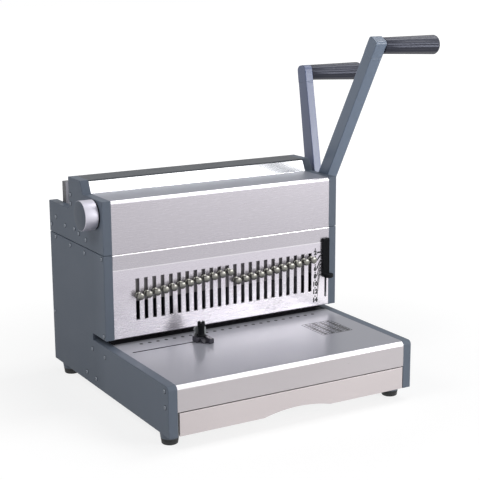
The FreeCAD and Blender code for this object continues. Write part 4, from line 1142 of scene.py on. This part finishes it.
def mark_number(text, place, height, normal):
    """A plain printed number, centred on the place and upright as seen from the front."""
    clear_selection()
    bpy.ops.object.text_add()
    font = bpy.context.object.data
    font.body, font.size, font.offset = text, height * 1.35 * MM, height * 0.1 * MM
    font.align_x = font.align_y = "CENTER"
    font.resolution_u = 3
    bpy.ops.object.convert(target="MESH")
    number = bpy.context.object
    number.rotation_euler = (math.radians(90) if normal == FRONT else 0, 0, 0)
    number.location = raised(place, normal)
    return settle(number)


class MACHINE_OT_prints(Operator):
    """Printed scale, hole marks and size chart, with plain numbers"""
    bl_idname = "machine.prints"
    bl_label = "Printed marks"

    def execute(self, context):
        scale = []
        for number, (level, tick, width) in enumerate(SCALE_ROWS):
            scale += [
                mark_number(str(2 * number + 2), on_panel(NUMBER_X, level), SCALE_NUMBER, FRONT),
                mark_dot(on_panel(NUMBER_X, level + DOT_ABOVE_NUMBER), SCALE_DOT, FRONT),
                mark_line(on_panel(LINE_X, level), on_panel(TICK_X, tick), width, FRONT),
                mark_line(on_panel(TICK_X - 0.2, tick), on_panel(TICK_END_X, tick), TICK_WIDTH, FRONT),
            ]
        dots = [mark_dot(on_table((centre_of(name).x - middle_x) / MM, HOLE_MARK_Y), HOLE_MARK, UP)
                for name in pin_names]
        chart = []
        levels = [CHART_NEAR + (CHART_FAR - CHART_NEAR) * row / CHART_ROWS for row in range(CHART_ROWS + 1)]
        for y in levels:
            left, right = on_table(CHART_COLUMNS[0], y), on_table(CHART_COLUMNS[-1], y)
            chart.append(mark_line(left, right, ROW_LINE, UP))
        for x in CHART_COLUMNS:
            chart.append(mark_line(on_table(x, CHART_NEAR), on_table(x, CHART_FAR), COLUMN_LINE, UP))
        for row in range(CHART_ROWS):
            y = (levels[row] + levels[row + 1]) / 2
            for column, step in enumerate(CHART_STEPS):
                x = (CHART_COLUMNS[column] + CHART_COLUMNS[column + 1]) / 2
                chart.append(mark_number(str((CHART_ROWS - row) * step), on_table(x, y), CHART_NUMBER, UP))
        for name, marks in (("slider_scale_print", scale), ("hole_marks_print", dots),
                            ("size_chart_print", chart)):
            dress(join(name, marks), "ink", "root", "black_plastic")
        return {"FINISHED"}


class MACHINE_PT_sidebar(Panel):
    """Lists the machine's build steps and its sizes and colours"""
    bl_label = "Machine"
    bl_idname = "MACHINE_PT_sidebar"
    bl_space_type = "VIEW_3D"
    bl_region_type = "UI"
    bl_category = "Machine"

    def draw(self, context):
        for settings in (context.scene.machine_sizes, context.scene.machine_colours):
            box = self.layout.box()
            for name in settings.__annotations__:
                box.prop(settings, name)
        for operator in OPERATORS:
            self.layout.operator(operator.bl_idname)


OPERATORS = (
    MACHINE_OT_stage, MACHINE_OT_casing, MACHINE_OT_sheets, MACHINE_OT_levers, MACHINE_OT_grips,
    MACHINE_OT_pull_pins, MACHINE_OT_adjuster_knob, MACHINE_OT_size_slider, MACHINE_OT_edge_guide,
    MACHINE_OT_cover_screws, MACHINE_OT_prints,
)
CLASSES = (MachineSizes, MachineColours) + OPERATORS + (MACHINE_PT_sidebar,)


def register():
    for item in CLASSES:
        bpy.utils.register_class(item)
    bpy.types.Scene.machine_sizes = PointerProperty(type=MachineSizes)
    bpy.types.Scene.machine_colours = PointerProperty(type=MachineColours)


def unregister():
    del bpy.types.Scene.machine_colours
    del bpy.types.Scene.machine_sizes
    for item in reversed(CLASSES):
        bpy.utils.unregister_class(item)


def main():
    register()
    make_finishes(bpy.context.scene.machine_colours)
    for operator in OPERATORS:
        group, name = operator.bl_idname.split(".")
        getattr(getattr(bpy.ops, group), name)()
    clear_selection()


if __name__ == "__main__":
    main()
